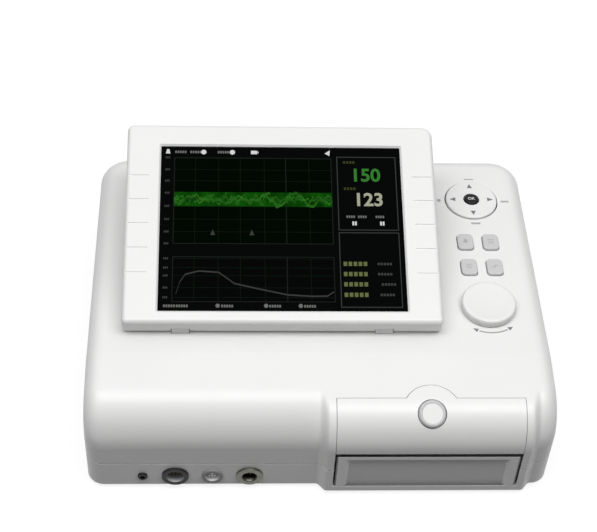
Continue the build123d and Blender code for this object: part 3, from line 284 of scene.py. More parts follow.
def circuit_board():
    """Green board with tracks on a 2.54 mm grid and tinned rings."""
    finish = Finish("circuit_board")
    pitch = 2.54 * MM
    across = finish.along("X").wave(pitch)
    up = finish.along("Y").wave(pitch)
    patches = finish.noise(11 * MM, 0.0)
    track = (across < 0.16) * (patches > 0.5) + (up < 0.16) * (patches < 0.5)
    middles = (across > 0.38) * (across < 0.62) * (up > 0.38) * (up < 0.62)
    ring = middles * (finish.noise(6 * MM, 0.0) > 0.56)
    green = finish.mix(track, (0.012, 0.11, 0.035), (0.025, 0.19, 0.06))
    finish.show("Base Color", finish.blend(ring, green, (0.62, 0.6, 0.52, 1)))
    finish.show("Metallic", ring * 0.9)
    finish.show("Roughness", 0.45 - 0.15 * track)
    finish.relief(track + ring, 0.03 * MM)
    return finish


def chart_paper():
    """A fan-folded pack: sheets show as fine lines at the edges, and the top carries a printed grid."""
    finish = Finish("chart_paper", Specular_IOR_Level=0.2)
    sheets = finish.along("Z").wave(0.35 * MM)
    lines = (finish.along("X").wave(5 * MM) < 0.08) + (finish.along("Y").wave(5 * MM) < 0.08)
    fibre = finish.noise(0.8 * MM, 4.0)
    stock = finish.mix(fibre, (0.8, 0.79, 0.74), (0.88, 0.87, 0.83))
    finish.show("Base Color", finish.blend(lines * 0.6, stock, (0.75, 0.42, 0.38, 1)))
    finish.show("Roughness", 0.75 + 0.15 * fibre)
    finish.relief(sheets, 0.05 * MM)
    return finish


def printing_ink(name, colour):
    """Pad-printed ink, a little thin in places."""
    finish = Finish(name, Specular_IOR_Level=0.3)
    thin = finish.noise(0.7 * MM, 3.0)
    finish.show("Base Color", finish.mix(thin, colour, [part * 1.25 + 0.01 for part in colour]))
    finish.show("Roughness", 0.5 + 0.15 * thin)
    return finish


def lit_picture(name, colour, ripple=0.25, patch=0.9 * MM):
    """A part of the lit picture, with its rows of dots a little uneven."""
    finish = Finish(name, Specular_IOR_Level=0.0, Emission_Strength=1.0, Roughness=0.6)
    dots = finish.noise(patch, 1.0)
    dim = [part * (1 - ripple) for part in colour]
    finish.show("Base Color", (0, 0, 0, 1))
    finish.show("Emission Color", finish.mix(dots, dim, colour))
    return finish


finishes = {
    "white_plastic": moulded_plastic("white_plastic", (0.78, 0.78, 0.775), 0.33),
    "grey_plastic": moulded_plastic("grey_plastic", (0.42, 0.425, 0.43), 0.45),
    "black_plastic": moulded_plastic("black_plastic", (0.014, 0.014, 0.0145), 0.42, gloss=0.25),
    "gear_plastic": moulded_plastic("gear_plastic", (0.7, 0.68, 0.6), 0.32, 0.8 * MM),
    "board": circuit_board(),
    "screen_glass": pane_glass(),
    "rubber": soft_rubber(),
    "steel": drawn_steel(),
    "aluminium": folded_aluminium(),
    "brass": contact_brass(),
    "paper": chart_paper(),
}
nickel = dull_nickel()
seal_grey = moulded_plastic("seal_grey", (0.15, 0.15, 0.152), 0.7, gloss=0.2)
socket_grey = moulded_plastic("socket_grey", (0.22, 0.22, 0.225), 0.5)
key_plastic = moulded_plastic("key_plastic", (0.56, 0.56, 0.565), 0.42)
drawer_painted_shade = drawer_plastic()
grey_ink = printing_ink("grey_ink", (0.16, 0.16, 0.165))
soft_ink = printing_ink("soft_ink", (0.33, 0.33, 0.335))
pale_ink = printing_ink("pale_ink", (0.6, 0.6, 0.6))
picture_green = lit_picture("picture_green", (0.04, 0.22, 0.03))
chart_green = lit_picture("chart_green", (0.001, 0.0036, 0.001), 0.6)
chart_black = lit_picture("chart_black", (0.003, 0.0032, 0.0034), 0.6)
band_green = lit_picture("band_green", (0.007, 0.115, 0.004), 1.0, 8 * MM)
trace_green = lit_picture("trace_green", (0.032, 0.2, 0.018), 0.85, 6 * MM)
grid_green = lit_picture("grid_green", (0.006, 0.013, 0.0065))
line_grey = lit_picture("line_grey", (0.05, 0.055, 0.055))
faint_grey = lit_picture("faint_grey", (0.014, 0.017, 0.015))
scale_grey = lit_picture("scale_grey", (0.07, 0.075, 0.07), 0.6)
curve_grey = lit_picture("curve_grey", (0.06, 0.062, 0.06), 0.5)
mark_grey = lit_picture("mark_grey", (0.2, 0.21, 0.2), 0.5)
picture_pale = lit_picture("picture_pale", (0.42, 0.44, 0.32))
picture_olive = lit_picture("picture_olive", (0.16, 0.19, 0.07), 0.4)
dim_olive = lit_picture("dim_olive", (0.05, 0.058, 0.02), 0.4)
picture_white = lit_picture("picture_white", (0.75, 0.77, 0.76))


def dress_nodes():
    """Gives every CAD node the finish of its slot, and a few nodes one of their own."""
    # The drawer front's own finish carries painted shade in its recess and down its side gaps.
    own = {"drawer_front": drawer_painted_shade, "toco_socket": nickel, "movement_socket": socket_grey}
    own.update({f"function_key_{number}": key_plastic for number in key_numbers})
    for part in frame["record"]["subparts"]:
        finish = own.get(part["node"], finishes[part["material_slot"]])
        mesh = frame["nodes"][part["node"]].data
        mesh.materials.clear()
        mesh.materials.append(finish.material)


dress_nodes()


# Making pieces

def added(name, data):
    """A new object in the scene."""
    made = bpy.data.objects.new(name, data)
    bpy.context.scene.collection.objects.link(made)
    return made


def piece(name, mesh, place, finish, body):
    """Puts a mesh in its place and hands it to the body that it moves with."""
    mesh.transform(place)
    mesh.materials.clear()
    mesh.materials.append(finish.material)
    made = added(name, mesh)
    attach(made, body)
    return made


def mesh_of(made, name):
    """A plain mesh of what has been drawn."""
    mesh = bpy.data.meshes.new(name)
    made.to_mesh(mesh)
    made.free()
    return mesh


def joined(meshes):
    made = bmesh.new()
    for mesh in meshes:
        made.from_mesh(mesh)
    return mesh_of(made, "joined")


def moved(mesh, place):
    mesh.transform(place)
    return mesh


def plates(outlines, thickness=ink):
    """Thin closed plates that stand on the XY plane, one for each outline."""
    made = bmesh.new()
    for outline in outlines:
        low = [made.verts.new((x, y, 0)) for x, y in outline]
        high = [made.verts.new((x, y, thickness)) for x, y in outline]
        made.faces.new(low[::-1])
        made.faces.new(high)
        for k in range(len(low)):
            after = (k + 1) % len(low)
            made.faces.new((low[k], low[after], high[after], high[k]))
    bmesh.ops.recalc_face_normals(made, faces=made.faces)
    return mesh_of(made, "plates")


def turned(profile, steps=circle_steps):
    """A solid turned round Z from (radius, height) points, or a ring if they stay clear of the axis."""
    made = bmesh.new()
    rings = []
    for radius, height in profile:
        count = steps if radius else 1
        points = round_outline(0, 0, radius, steps)[:count]
        rings.append([made.verts.new((x, y, height)) for x, y in points])
    ring_ends = rings[:1] if profile[0][0] else []
    for lower, upper in zip(rings, rings[1:] + ring_ends):
        for k in range(steps):
            after = (k + 1) % steps
            below = [lower[k % len(lower)], lower[after % len(lower)]]
            above = [upper[after % len(upper)], upper[k % len(upper)]]
            made.faces.new(list(dict.fromkeys(below + above)))
    bmesh.ops.recalc_face_normals(made, faces=made.faces)
    mesh = mesh_of(made, "turned")
    mesh.shade_smooth()
    return mesh


def lettering(words, height, weight):
    """Words as a thin plate, centred on the XY plane. The height is that of a capital."""
    capital_share = 0.7
    curve = bpy.data.curves.new("words", "FONT")
    curve.body = words
    curve.size = height / capital_share
    curve.offset = weight
    curve.extrude = ink / 2
    curve.align_x = "CENTER"
    curve.align_y = "CENTER"
    made = added("words", curve)
    bpy.context.view_layer.update()
    ready = made.evaluated_get(bpy.context.evaluated_depsgraph_get())
    mesh = bpy.data.meshes.new_from_object(ready)
    bpy.data.objects.remove(made)
    return mesh


def around(radius, angle):
    """A point on a circle round the axis, at an angle in degrees from +X."""
    a = math.radians(angle)
    return (radius * math.cos(a), radius * math.sin(a))


def box_outline(x, y, width, height):
    return [(x - width / 2, y - height / 2), (x + width / 2, y - height / 2),
            (x + width / 2, y + height / 2), (x - width / 2, y + height / 2)]


def round_outline(x, y, radius, steps=16):
    angles = [2 * math.pi * k / steps for k in range(steps)]
    return [(x + radius * math.cos(a), y + radius * math.sin(a)) for a in angles]


def arrow_outline(x, y, size, heading):
    """A triangle that points along a heading, in degrees from +X."""
    corners = [around(size, heading + step) for step in (0, 130, 230)]
    return [(x + right, y + up) for right, up in corners]


def arc_outline(radius, width, start, end, steps=18):
    angles = [start + (end - start) * k / steps for k in range(steps + 1)]
    outer = [around(radius + width / 2, angle) for angle in angles]
    inner = [around(radius - width / 2, angle) for angle in angles]
    return outer + inner[::-1]


# Patterns that repeat

class Pattern(Nodes):
    """A geometry tree with named sizes. Each run of it gives a plain mesh."""

    def __init__(self, name, sizes):
        super().__init__(bpy.data.node_groups.new(name, "GeometryNodeTree"))
        self.tree.interface.new_socket("Points", in_out="INPUT", socket_type="NodeSocketGeometry")
        for size, kind in sizes.items():
            self.tree.interface.new_socket(size, in_out="INPUT", socket_type="NodeSocket" + kind)
        self.tree.interface.new_socket("Finish", in_out="INPUT", socket_type="NodeSocketMaterial")
        self.tree.interface.new_socket("Pieces", in_out="OUTPUT", socket_type="NodeSocketGeometry")
        self.start = self.tree.nodes.new("NodeGroupInput")

    def size(self, name):
        return Value(self, self.start.outputs[name])

    def give(self, shape):
        real = self.node("GeometryNodeRealizeInstances", {}, {0: shape})
        sockets = {"Geometry": real, "Material": self.size("Finish")}
        dressed = self.node("GeometryNodeSetMaterial", {}, sockets)
        self.tree.links.new(dressed.output, self.tree.nodes.new("NodeGroupOutput").inputs[0])
        return self

    def run(self, finish, points=None, **sizes):
        carrier = added("pattern", points or bpy.data.meshes.new("pattern"))
        modifier = carrier.modifiers.new("pattern", "NODES")
        modifier.node_group = self.tree
        for item in self.tree.interface.items_tree:
            if item.in_out == "INPUT" and item.name in sizes:
                modifier[item.identifier] = sizes[item.name]
            elif item.in_out == "INPUT" and item.name == "Finish":
                modifier[item.identifier] = finish.material
        ready = carrier.evaluated_get(bpy.context.evaluated_depsgraph_get())
        mesh = bpy.data.meshes.new_from_object(ready)
        bpy.data.objects.remove(carrier)
        return mesh


def row_pattern():
    """Bars of one size in a straight row."""
    row = Pattern("row", {"Count": "Int", "Start": "Vector", "Step": "Vector", "Size": "Vector"})
    sockets = {"Count": row.size("Count"), "Start Location": row.size("Start"),
               "Offset": row.size("Step")}
    line = row.node("GeometryNodeMeshLine", {"mode": "OFFSET", "count_mode": "TOTAL"}, sockets)
    bar = row.node("GeometryNodeMeshCube", {}, {"Size": row.size("Size")})
    return row.give(row.node("GeometryNodeInstanceOnPoints", {}, {"Points": line, "Instance": bar}))


def ring_pattern():
    """Round pins of one size in a ring, each a little narrower at its top."""
    sizes = {"Count": "Int", "Radius": "Float", "Pin Radius": "Float", "Tip Radius": "Float",
             "Height": "Float"}
    ring = Pattern("ring", sizes)
    sockets = {"Vertices": ring.size("Count"), "Radius": ring.size("Radius")}
    circle = ring.node("GeometryNodeMeshCircle", {}, sockets)
    sockets = {"Vertices": 12, "Radius Top": ring.size("Tip Radius"),
               "Radius Bottom": ring.size("Pin Radius"), "Depth": ring.size("Height")}
    pin = ring.node("GeometryNodeMeshCone", {}, sockets)
    return ring.give(ring.node("GeometryNodeInstanceOnPoints", {}, {"Points": circle, "Instance": pin}))


def trace_pattern():
    """A level ribbon whose height follows a noise with a fixed seed."""
    sizes = {"Length": "Float", "Swing": "Float", "Wave": "Float", "Seed": "Float", "Line": "Float"}
    trace = Pattern("trace", sizes)
    sockets = {"X": trace.size("Length"), "Y": trace.size("Line"), "Z": ink}
    size = trace.node("ShaderNodeCombineXYZ", {}, sockets)
    ribbon = trace.node("GeometryNodeMeshCube", {}, {"Size": size, "Vertices X": 260})
    across = trace.node("ShaderNodeSeparateXYZ", {}, {0: trace.node("GeometryNodeInputPosition")}, "X")
    sockets = {"X": across / trace.size("Wave"), "Y": trace.size("Seed")}
    spot = trace.node("ShaderNodeCombineXYZ", {}, sockets)
    noise = trace.node("ShaderNodeTexNoise", {}, {"Vector": spot, "Scale": 1.0, "Detail": 3.0})
    rise = trace.node("ShaderNodeCombineXYZ", {}, {"Y": (noise - 0.5) * trace.size("Swing")})
    return trace.give(trace.node("GeometryNodeSetPosition", {}, {"Geometry": ribbon, "Offset": rise}))


def chip_pattern():
    """Small blocks scattered over a board with a fixed seed."""
    sizes = {"Width": "Float", "Depth": "Float", "Density": "Float", "Smallest": "Vector",
             "Largest": "Vector", "Seed": "Int"}
    chips = Pattern("chips", sizes)
    sockets = {"Size X": chips.size("Width"), "Size Y": chips.size("Depth")}
    sheet = chips.node("GeometryNodeMeshGrid", {}, sockets)
    sockets = {"Mesh": sheet, "Density": chips.size("Density"), "Seed": chips.size("Seed")}
    spots = chips.node("GeometryNodeDistributePointsOnFaces", {}, sockets)
    settings = {"data_type": "FLOAT_VECTOR"}
    sockets = {0: chips.size("Smallest"), 1: chips.size("Largest"), "Seed": chips.size("Seed")}
    stretch = chips.node("FunctionNodeRandomValue", settings, sockets)
    block = chips.node("GeometryNodeMeshCube", {}, {"Size": (1, 1, 1)})
    sockets = {"Points": spots, "Instance": block, "Scale": stretch}
    return chips.give(chips.node("GeometryNodeInstanceOnPoints", {}, sockets))


def item_pattern():
    """One item set at each point of a mesh."""
    items = Pattern("items", {"Item": "Object"})
    item = items.node("GeometryNodeObjectInfo", {}, {"Object": items.size("Item")}, "Geometry")
    sockets = {"Points": items.size("Points"), "Instance": item}
    return items.give(items.node("GeometryNodeInstanceOnPoints", {}, sockets))


row = row_pattern()
ring = ring_pattern()
trace = trace_pattern()
chips = chip_pattern()
items = item_pattern()


def bars(count, start, step, size, finish):
    return row.run(finish, Count=count, Start=start, Step=step, Size=size)


def block(centre, size, finish):
    return bars(1, centre, (0, 0, 0), size, finish)


# The lit picture. Places on it are shares of its width from the left and of its height from the top.

def joint_named(name):
    return next(joint for joint in frame["joints"] if joint["name"] == name)


tilt = math.radians(-joint_named("display_hinge")["range_deg"][0])
screen_up = Vector((0, math.cos(tilt), math.sin(tilt)))
screen_out = Vector((0, -math.sin(tilt), math.cos(tilt)))
screen_turn = Matrix((Vector((1, 0, 0)), screen_up, screen_out)).transposed().to_4x4()
screen_middle = middle("display_window") + screen_out * (pane_thickness / 2 + lift)


def screen_place(layer=0):
    """Where the picture lies, a few layers of ink above the pane."""
    return Matrix.Translation(screen_middle + screen_out * layer * (ink + lift)) @ screen_turn


def spot(across, down):
    return ((across - 0.5) * screen_width, (0.5 - down) * screen_height)


chart_left, chart_right = 0.055, 0.71
upper_chart = (0.068, 0.6)
lower_chart = (0.68, 0.945)
chart_width = (chart_right - chart_left) * screen_width
chart_middle = (chart_left + chart_right) / 2
band_down, band_share = 0.328, 0.088
moment_across = 0.519
top_line, bottom_line = 0.03, 0.97
grid_shares = [0.142, 0.239, 0.329, 0.429, 0.616, 0.709]
beat_shares = (0.066, 0.142, 0.213, 0.289, 0.371, 0.452, 0.528, 0.6)
push_shares = (0.69, 0.745, 0.792, 0.863, 0.92)


def picture_charts():
    """The ground of the upper chart, which is dark green, and of the lower one."""
    for name, (top, bottom), finish in (("picture_upper_chart", upper_chart, chart_green),
                                        ("picture_lower_chart", lower_chart, chart_black)):
        x, y = spot(chart_middle, (top + bottom) / 2)
        outline = box_outline(x, y, chart_width, (bottom - top) * screen_height)
        piece(name, plates([outline], ink / 3), screen_place(), finish, "display")


def picture_grid():
    meshes = []
    for top, bottom, downs in ((0.07, 0.6, beat_shares), (0.68, 0.94, push_shares)):
        height = (bottom - top) * screen_height
        for across in grid_shares:
            x, y = spot(across, (top + bottom) / 2)
            meshes.append(plates([box_outline(x, y, hair, height)]))
        for down in downs:
            x, y = spot(chart_middle, down)
            meshes.append(plates([box_outline(x, y, chart_width, hair)]))
    piece("picture_grid", joined(meshes), screen_place(1), grid_green, "display")


def picture_frames():
    """The frames of the two charts and of the column of numbers, and the line of the present moment."""
    columns = ((0.735, 0.981, 0.056, 0.513), (0.735, 0.981, 0.53, 0.975))
    charts = ((chart_left, chart_right, *upper_chart), (chart_left, chart_right, *lower_chart))
    for name, places, finish in (("picture_frames", columns, line_grey),
                                 ("picture_chart_frames", charts, faint_grey)):
        meshes = []
        for left, right, top, bottom in places:
            x, y = spot((left + right) / 2, (top + bottom) / 2)
            width, height = (right - left) * screen_width, (bottom - top) * screen_height
            for side in (-1, 1):
                upright = box_outline(x + side * width / 2, y, frame_line, height + frame_line)
                level = box_outline(x, y + side * height / 2, width - frame_line, frame_line)
                meshes += [plates([upright]), plates([level])]
        piece(name, joined(meshes), screen_place(2), finish, "display")
    meshes = []
    for top, bottom in (upper_chart, lower_chart):
        x, y = spot(moment_across, (top + bottom) / 2)
        meshes.append(plates([box_outline(x, y, 1.6 * hair, (bottom - top) * screen_height)]))
    piece("picture_moment", joined(meshes), screen_place(2), faint_grey, "display")


def picture_scale():
    """The dashes beside the charts, where the numbers of their scales stand."""
    meshes = []
    step, size = 1.2 * MM, (0.8 * MM, 1.5 * MM, ink)
    for down in beat_shares + push_shares:
        x, y = spot(0.027, down)
        meshes.append(bars(3, (x - 1.3 * MM, y, 0), (step, 0, 0), size, scale_grey))
    piece("picture_scale", joined(meshes), screen_place(1), scale_grey, "display")


def picture_band():
    x, y = spot(chart_middle, band_down)
    outline = box_outline(x, y, chart_width, band_share * screen_height)
    piece("picture_band", plates([outline]), screen_place(2), band_green, "display")


def picture_traces():
    """Three uneven traces over the band. Each has a seed, a wave length, a swing and a line width."""
    x, y = spot(chart_middle, band_down)
    meshes = []
    for seed, wave, swing, line in ((3.0, 7.0, 36.0, 1.7), (8.0, 4.4, 30.0, 1.3),
                                    (15.0, 12.0, 40.0, 2.1)):
        mesh = trace.run(trace_green, Length=chart_width, Swing=swing * MM, Wave=wave * MM, Seed=seed,
                         Line=line * MM)
        meshes.append(moved(mesh, Matrix.Translation((x, y, 0))))
    piece("picture_traces", joined(meshes), screen_place(3), trace_green, "display")


def picture_push():
    """The slow curve of the lower chart and the two peaks above it."""
    places = ((0.07, 0.9), (0.085, 0.83), (0.106, 0.785), (0.16, 0.765), (0.241, 0.772), (0.305, 0.838),
              (0.398, 0.868), (moment_across, 0.904), (0.62, 0.912), (0.68, 0.91), (0.706, 0.885))
    line = [spot(*place) for place in places]
    half = 0.5 * MM
    outlines = [[(x, y - half) for x, y in line] + [(x, y + half) for x, y in line[::-1]]]
    for across, down in ((0.216, 0.535), (0.376, 0.535)):
        x, y = spot(across, down)
        outlines.append([(x - 1.7 * MM, y - 1.7 * MM), (x + 1.7 * MM, y - 1.7 * MM), (x, y + 2.6 * MM)])
    piece("picture_push", plates(outlines), screen_place(2), curve_grey, "display")


def picture_number(name, words, place, height, finish):
    mesh = lettering(words, height, 0.35 * MM)
    piece(name, moved(mesh, Matrix.Translation((*spot(*place), 0))), screen_place(1), finish, "display")


def dashes(places, size, count, finish, name):
    """Short rows of dashes in the places of words."""
    width, height = size
    step, dash_share = width / count, 0.7
    meshes = []
    for across, down in places:
        x, y = spot(across, down)
        start = (x - width / 2 + step / 2, y, 0)
        meshes.append(bars(count, start, (step, 0, 0), (step * dash_share, height, ink), finish))
    piece(name, joined(meshes), screen_place(1), finish, "display")


def picture_icons():
    """A bell, a cell, a pointer and discs on the top line, and dimmer discs on the bottom line."""
    outlines = [round_outline(*spot(across, 0.968), 1.5 * MM) for across in (0.238, 0.432, 0.571)]
    piece("picture_discs", plates(outlines), screen_place(1), mark_grey, "display")
    outlines = [round_outline(*spot(across, top_line), 1.9 * MM) for across in (0.176, 0.296)]
    x, y = spot(0.027, top_line)
    outlines.append([(x - 1.6 * MM, y - 1.4 * MM), (x + 1.6 * MM, y - 1.4 * MM),
                     (x + 0.8 * MM, y + 2.2 * MM), (x - 0.8 * MM, y + 2.2 * MM)])
    x, y = spot(0.387, top_line)
    outlines.append(box_outline(x, y, 4.4 * MM, 2.8 * MM))
    outlines.append(box_outline(x + 2.8 * MM, y, 0.7 * MM, 1.4 * MM))
    x, y = spot(0.699, top_line)
    outlines.append(arrow_outline(x, y, 2.6 * MM, 60))
    piece("picture_icons", plates(outlines), screen_place(1), picture_white, "display")


def picture_words():
    """Dashes over and under the numbers, in the list below and on the top and bottom lines."""
    rows = (0.718, 0.779, 0.84, 0.902)
    over_numbers = ((0.785, 0.089), (0.785, 0.256))
    row_starts = [(0.797, down) for down in rows]
    under_numbers = [(across, 0.431) for across in (0.785, 0.833, 0.906)]
    row_ends = list(zip((0.917, 0.917, 0.93, 0.923), rows))
    lines = [(across, top_line) for across in (0.08, 0.143, 0.258)]
    lines += [(across, bottom_line) for across in (0.044, 0.095, 0.276, 0.468, 0.608)]
    small_numbers = ((0.80, 0.472), (0.915, 0.472))
    dashes(over_numbers, (9 * MM, 2.0 * MM), 4, dim_olive, "picture_olive_words")
    dashes(row_starts, (17.5 * MM, 3.2 * MM), 5, picture_olive, "picture_rows")
    dashes(under_numbers, (6.5 * MM, 1.8 * MM), 4, mark_grey, "picture_grey_words")
    dashes(row_ends, (10.5 * MM, 1.8 * MM), 5, scale_grey, "picture_row_words")
    dashes(lines, (8.5 * MM, 1.9 * MM), 5, mark_grey, "picture_line_words")
    dashes(small_numbers, (3.6 * MM, 3.0 * MM), 2, picture_white, "picture_small_numbers")


picture_charts()
picture_grid()
picture_frames()
picture_scale()
picture_band()
picture_traces()
picture_push()
picture_icons()
picture_number("picture_beat_number", "150", (0.853, 0.174), 10.0 * MM, picture_green)
picture_number("picture_second_number", "123", (0.862, 0.328), 10.0 * MM, picture_pale)
picture_words()


# Prints on the deck and its controls

def just_above(place, more=0):
    """A level place for a print, a hair above a top."""
    return Matrix.Translation(place + Vector((0, 0, more + print_lift)))


def on_deck(place):
    return Matrix.Translation((place.x, place.y, deck_z + print_lift))


def pad_prints():
    """Four arrows on the direction ring, the letters on its button and the marks on the deck round it."""
    outlines = [arrow_outline(*around(13.8 * MM, angle), 2.7 * MM, angle) for angle in (0, 90, 180, 270)]
    piece("pad_arrows", plates(outlines), just_above(pad), grey_ink, "direction_pad")
    outlines = [box_outline(0.8 * MM, 23.2 * MM, 7 * MM, 1.1 * MM),
                box_outline(0.9 * MM, -23.8 * MM, 7 * MM, 1.9 * MM),
                box_outline(25.4 * MM, -0.6 * MM, 6 * MM, 1.7 * MM),
                round_outline(-24.4 * MM, 0.2 * MM, 1.5 * MM)]
    piece("pad_marks", plates(outlines), on_deck(pad), soft_ink, "base")
    place = just_above(top_of("ok_button"), ink / 2)
    piece("ok_letters", lettering("OK", 2.6 * MM, 0.05 * MM), place, pale_ink, "ok_key")


def knob_prints():
    """The arc under the knob, with an arrow at each end."""
    radius = 23.2 * MM
    place = on_deck(middle("knob"))
    piece("knob_arc", plates([arc_outline(radius, 1.3 * MM, -112, -61)]), place, soft_ink, "base")
    ends = ((-118, 150), (-55, 30))
    outlines = [arrow_outline(*around(radius, angle), 2.3 * MM, heading) for angle, heading in ends]
    piece("knob_marks", plates(outlines), place, grey_ink, "base")


def key_prints():
    """A generic mark on each key: a bell, a paper strip, a zero line and a step."""
    bell = [[(-2.2 * MM, -1.2 * MM), (2.2 * MM, -1.2 * MM), (1.3 * MM, 0.2 * MM), (0.9 * MM, 2.2 * MM),
             (-0.9 * MM, 2.2 * MM), (-1.3 * MM, 0.2 * MM)], round_outline(0, -1.9 * MM, 0.55 * MM)]
    strip = [box_outline(0, y * MM, 4.4 * MM, 0.6 * MM) for y in (-1.8, 0, 1.8)]
    zero = [arc_outline(1.9 * MM, 0.6 * MM, 20, 340), box_outline(0, 0, 1.0 * MM, 1.0 * MM)]
    step = [box_outline(-1.4 * MM, -0.9 * MM, 2.6 * MM, 0.6 * MM),
            box_outline(1.4 * MM, 0.9 * MM, 2.6 * MM, 0.6 * MM), box_outline(0, 0, 0.6 * MM, 2.4 * MM)]
    for number, outlines in zip(key_numbers, (bell, strip, zero, step)):
        place = just_above(top_of(f"function_key_{number}"))
        piece(f"key_mark_{number}", plates(outlines), place, soft_ink, f"key_{number}")


def knob_turned():
    """The knob with a shallow dish in its top and a ribbed rim."""
    low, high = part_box("knob")
    centre = middle("knob")
    white = finishes["white_plastic"]
    radius = (high.x - low.x) / 2 - 0.35 * MM
    stem, bend = 3 * MM, 1.6 * MM
    root, rim = low.z - centre.z, high.z - centre.z
    under = rim - 5.8 * MM
    profile = [(0, root), (stem, root), (stem, under), (radius - 0.6 * MM, under),
               (radius, under + 0.5 * MM)]
    for step in range(7):
        a = math.radians(90 * step / 6)
        profile.append((radius - bend * (1 - math.cos(a)), rim - bend * (1 - math.sin(a))))
    dish = ((3.2, 0), (4.4, 0.25), (9, 0.75), (15, 0.95))
    profile += [(radius - inward * MM, rim - drop * MM) for inward, drop in dish]
    profile.append((0, rim - 1.0 * MM))
    dial = piece("knob_turned", turned(profile, 96), Matrix.Translation(centre), white, "dial")
    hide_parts("knob")
    sizes = {"Count": 72, "Radius": radius - 0.1 * MM, "Pin Radius": 0.42 * MM, "Tip Radius": 0.3 * MM,
             "Height": 3.4 * MM}
    place = Matrix.Translation((centre.x, centre.y, centre.z + under + 0.6 * MM))
    piece("knob_ribs", ring.run(white, **sizes), place, white, "dial")


pad_prints()
knob_prints()
key_prints()
knob_turned()


# Recorder

def facing_user(x, y, z):
    """A plane seen from the front: X right, its other axis up, out towards the user."""
    turn = Matrix(((1, 0, 0), (0, 0, -1), (0, 1, 0))).to_4x4()
    return Matrix.Translation((x, y, z)) @ turn


def tear_edge():
    """A row of small teeth under the lid's lower edge, for tearing off the paper."""
    low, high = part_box("recorder_lid")
    steel = finishes["steel"]
    count, tooth, thickness = 78, 1.5 * MM, 0.5 * MM
    half = (count - 1) / 2 * tooth
    first = (low.x + high.x) / 2 - half
    behind = low.y + 3.1 * MM
    teeth = bars(count, (first, behind, low.z + 0.1 * MM), (tooth, 0, 0), (0.8 * MM, thickness, 0.9 * MM),
                 steel)
    blade = block((first + half, behind, low.z + 1.4 * MM), (count * tooth, thickness, 1.8 * MM), steel)
    piece("tear_edge", joined([teeth, blade]), Matrix.Identity(4), steel, "lid")


def latch_ring():
    """A grey ring round the white middle of the latch button, on its bevel, as painted shade of the bevel."""
    out = -Vector(joint_named("latch_press")["axis"])
    right = Vector((1, 0, 0))
    turn = Matrix((right, out.cross(right), out)).transposed().to_4x4()
    # Painted shade: the grey ring covers the bevel, where shade falls round the button.
    inner, outer = 6.85 * MM, 9.25 * MM
    profile = [(inner, 0.05 * MM), (outer, -1.42 * MM), (outer, -1.5 * MM), (inner, -0.05 * MM)]
    place = Matrix.Translation(far_face("latch_button", out)) @ turn
    piece("latch_ring", turned(profile), place, key_plastic, "latch")


def drawer_seal():
    """A dark rubber strip along the top of the drawer's face, as painted shade of the slot above it, and the grey
    strip along its foot.
    """
    low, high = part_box("drawer_front")
    middle_x, width = (low.x + high.x) / 2, high.x - low.x
    rubber = finishes["rubber"]
    # Painted shade: the dark strip stands where the slot between lid and drawer lies in shade.
    place, size = (middle_x, low.y + 0.45 * MM, high.z + 0.35 * MM), (width, 0.8 * MM, 0.7 * MM)
    piece("drawer_seal", block(place, size, rubber), Matrix.Identity(4), rubber, "drawer")
    place, size = (middle_x, low.y + 1.05 * MM, low.z + 0.3 * MM), (width - 14 * MM, 1.6 * MM, 0.5 * MM)
    piece("foot_seal", block(place, size, seal_grey), Matrix.Identity(4), seal_grey, "drawer")


tear_edge()
latch_ring()
drawer_seal()


# Sockets

bore_depth = 9 * MM
bore_radius = {"doppler": 6.2 * MM, "movement": 4.9 * MM, "toco": 5.4 * MM}


def socket_core(name, core, reach, pins, pin_ring, slots):
    """A thin sleeve in the bore, and in its depth a plug with a ring of contacts round a middle one."""
    sleeve_slot, core_slot, contact = slots
    low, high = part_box(f"{name}_socket")
    centre = (low + high) / 2
    floor = low.y + bore_depth
    bore = bore_radius[name]
    inner, front = bore - 0.25 * MM, bore_depth - 0.3 * MM
    profile = [(inner, 0), (bore, 0), (bore, front - 0.2 * MM), (bore - 0.1 * MM, front),
               (inner, front - 0.1 * MM)]
    place = facing_user(centre.x, floor, centre.z)
    sleeve_finish = nickel if sleeve_slot == "steel" else finishes[sleeve_slot]
    piece(f"{name}_sleeve", turned(profile), place, sleeve_finish, "base")
    profile = [(0, 0), (inner, 0), (inner, 0.6 * MM), (core + 0.4 * MM, 0.6 * MM), (core, 1.0 * MM),
               (core, reach - 0.4 * MM), (core - 0.4 * MM, reach), (0, reach)]
    piece(f"{name}_core", turned(profile), place, finishes[core_slot], "base")
    pin, tip, height = 0.5 * MM, 0.42 * MM, 0.8 * MM
    sizes = {"Count": pins, "Radius": pin_ring, "Pin Radius": pin, "Tip Radius": tip, "Height": height}
    middle_pin = turned([(0, 0), (pin, 0), (pin, height * 0.9), (tip, height), (0, height)], 16)
    meshes = [ring.run(finishes[contact], **sizes), middle_pin]
    place = facing_user(centre.x, floor - reach + 0.02 * MM, centre.z)
    piece(f"{name}_contacts", joined(meshes), place, finishes[contact], "base")


socket_core("doppler", 3.8 * MM, 3.6 * MM, 6, 2.4 * MM, ("grey_plastic", "black_plastic", "brass"))
socket_core("movement", 3.4 * MM, 6.6 * MM, 4, 2.0 * MM, ("white_plastic", "white_plastic", "steel"))
socket_core("toco", 3.4 * MM, 4.2 * MM, 5, 2.2 * MM, ("steel", "black_plastic", "brass"))


# Rear and underside

def facing_back(x, y, z):
    """A plane seen from behind: its first axis along -X, its other axis up, out to the rear."""
    turn = Matrix(((-1, 0, 0), (0, 0, 1), (0, 1, 0))).to_4x4()
    return Matrix.Translation((x, y, z)) @ turn


def screw_item():
    """A domed screw head, drawn with its face up."""
    profile = ((0, 0), (2.7, 0), (2.7, 0.5), (2.2, 1.1), (1.5, 1.3), (0, 1.3))
    return added("screw_item", turned([(radius * MM, height * MM) for radius, height in profile], 24))


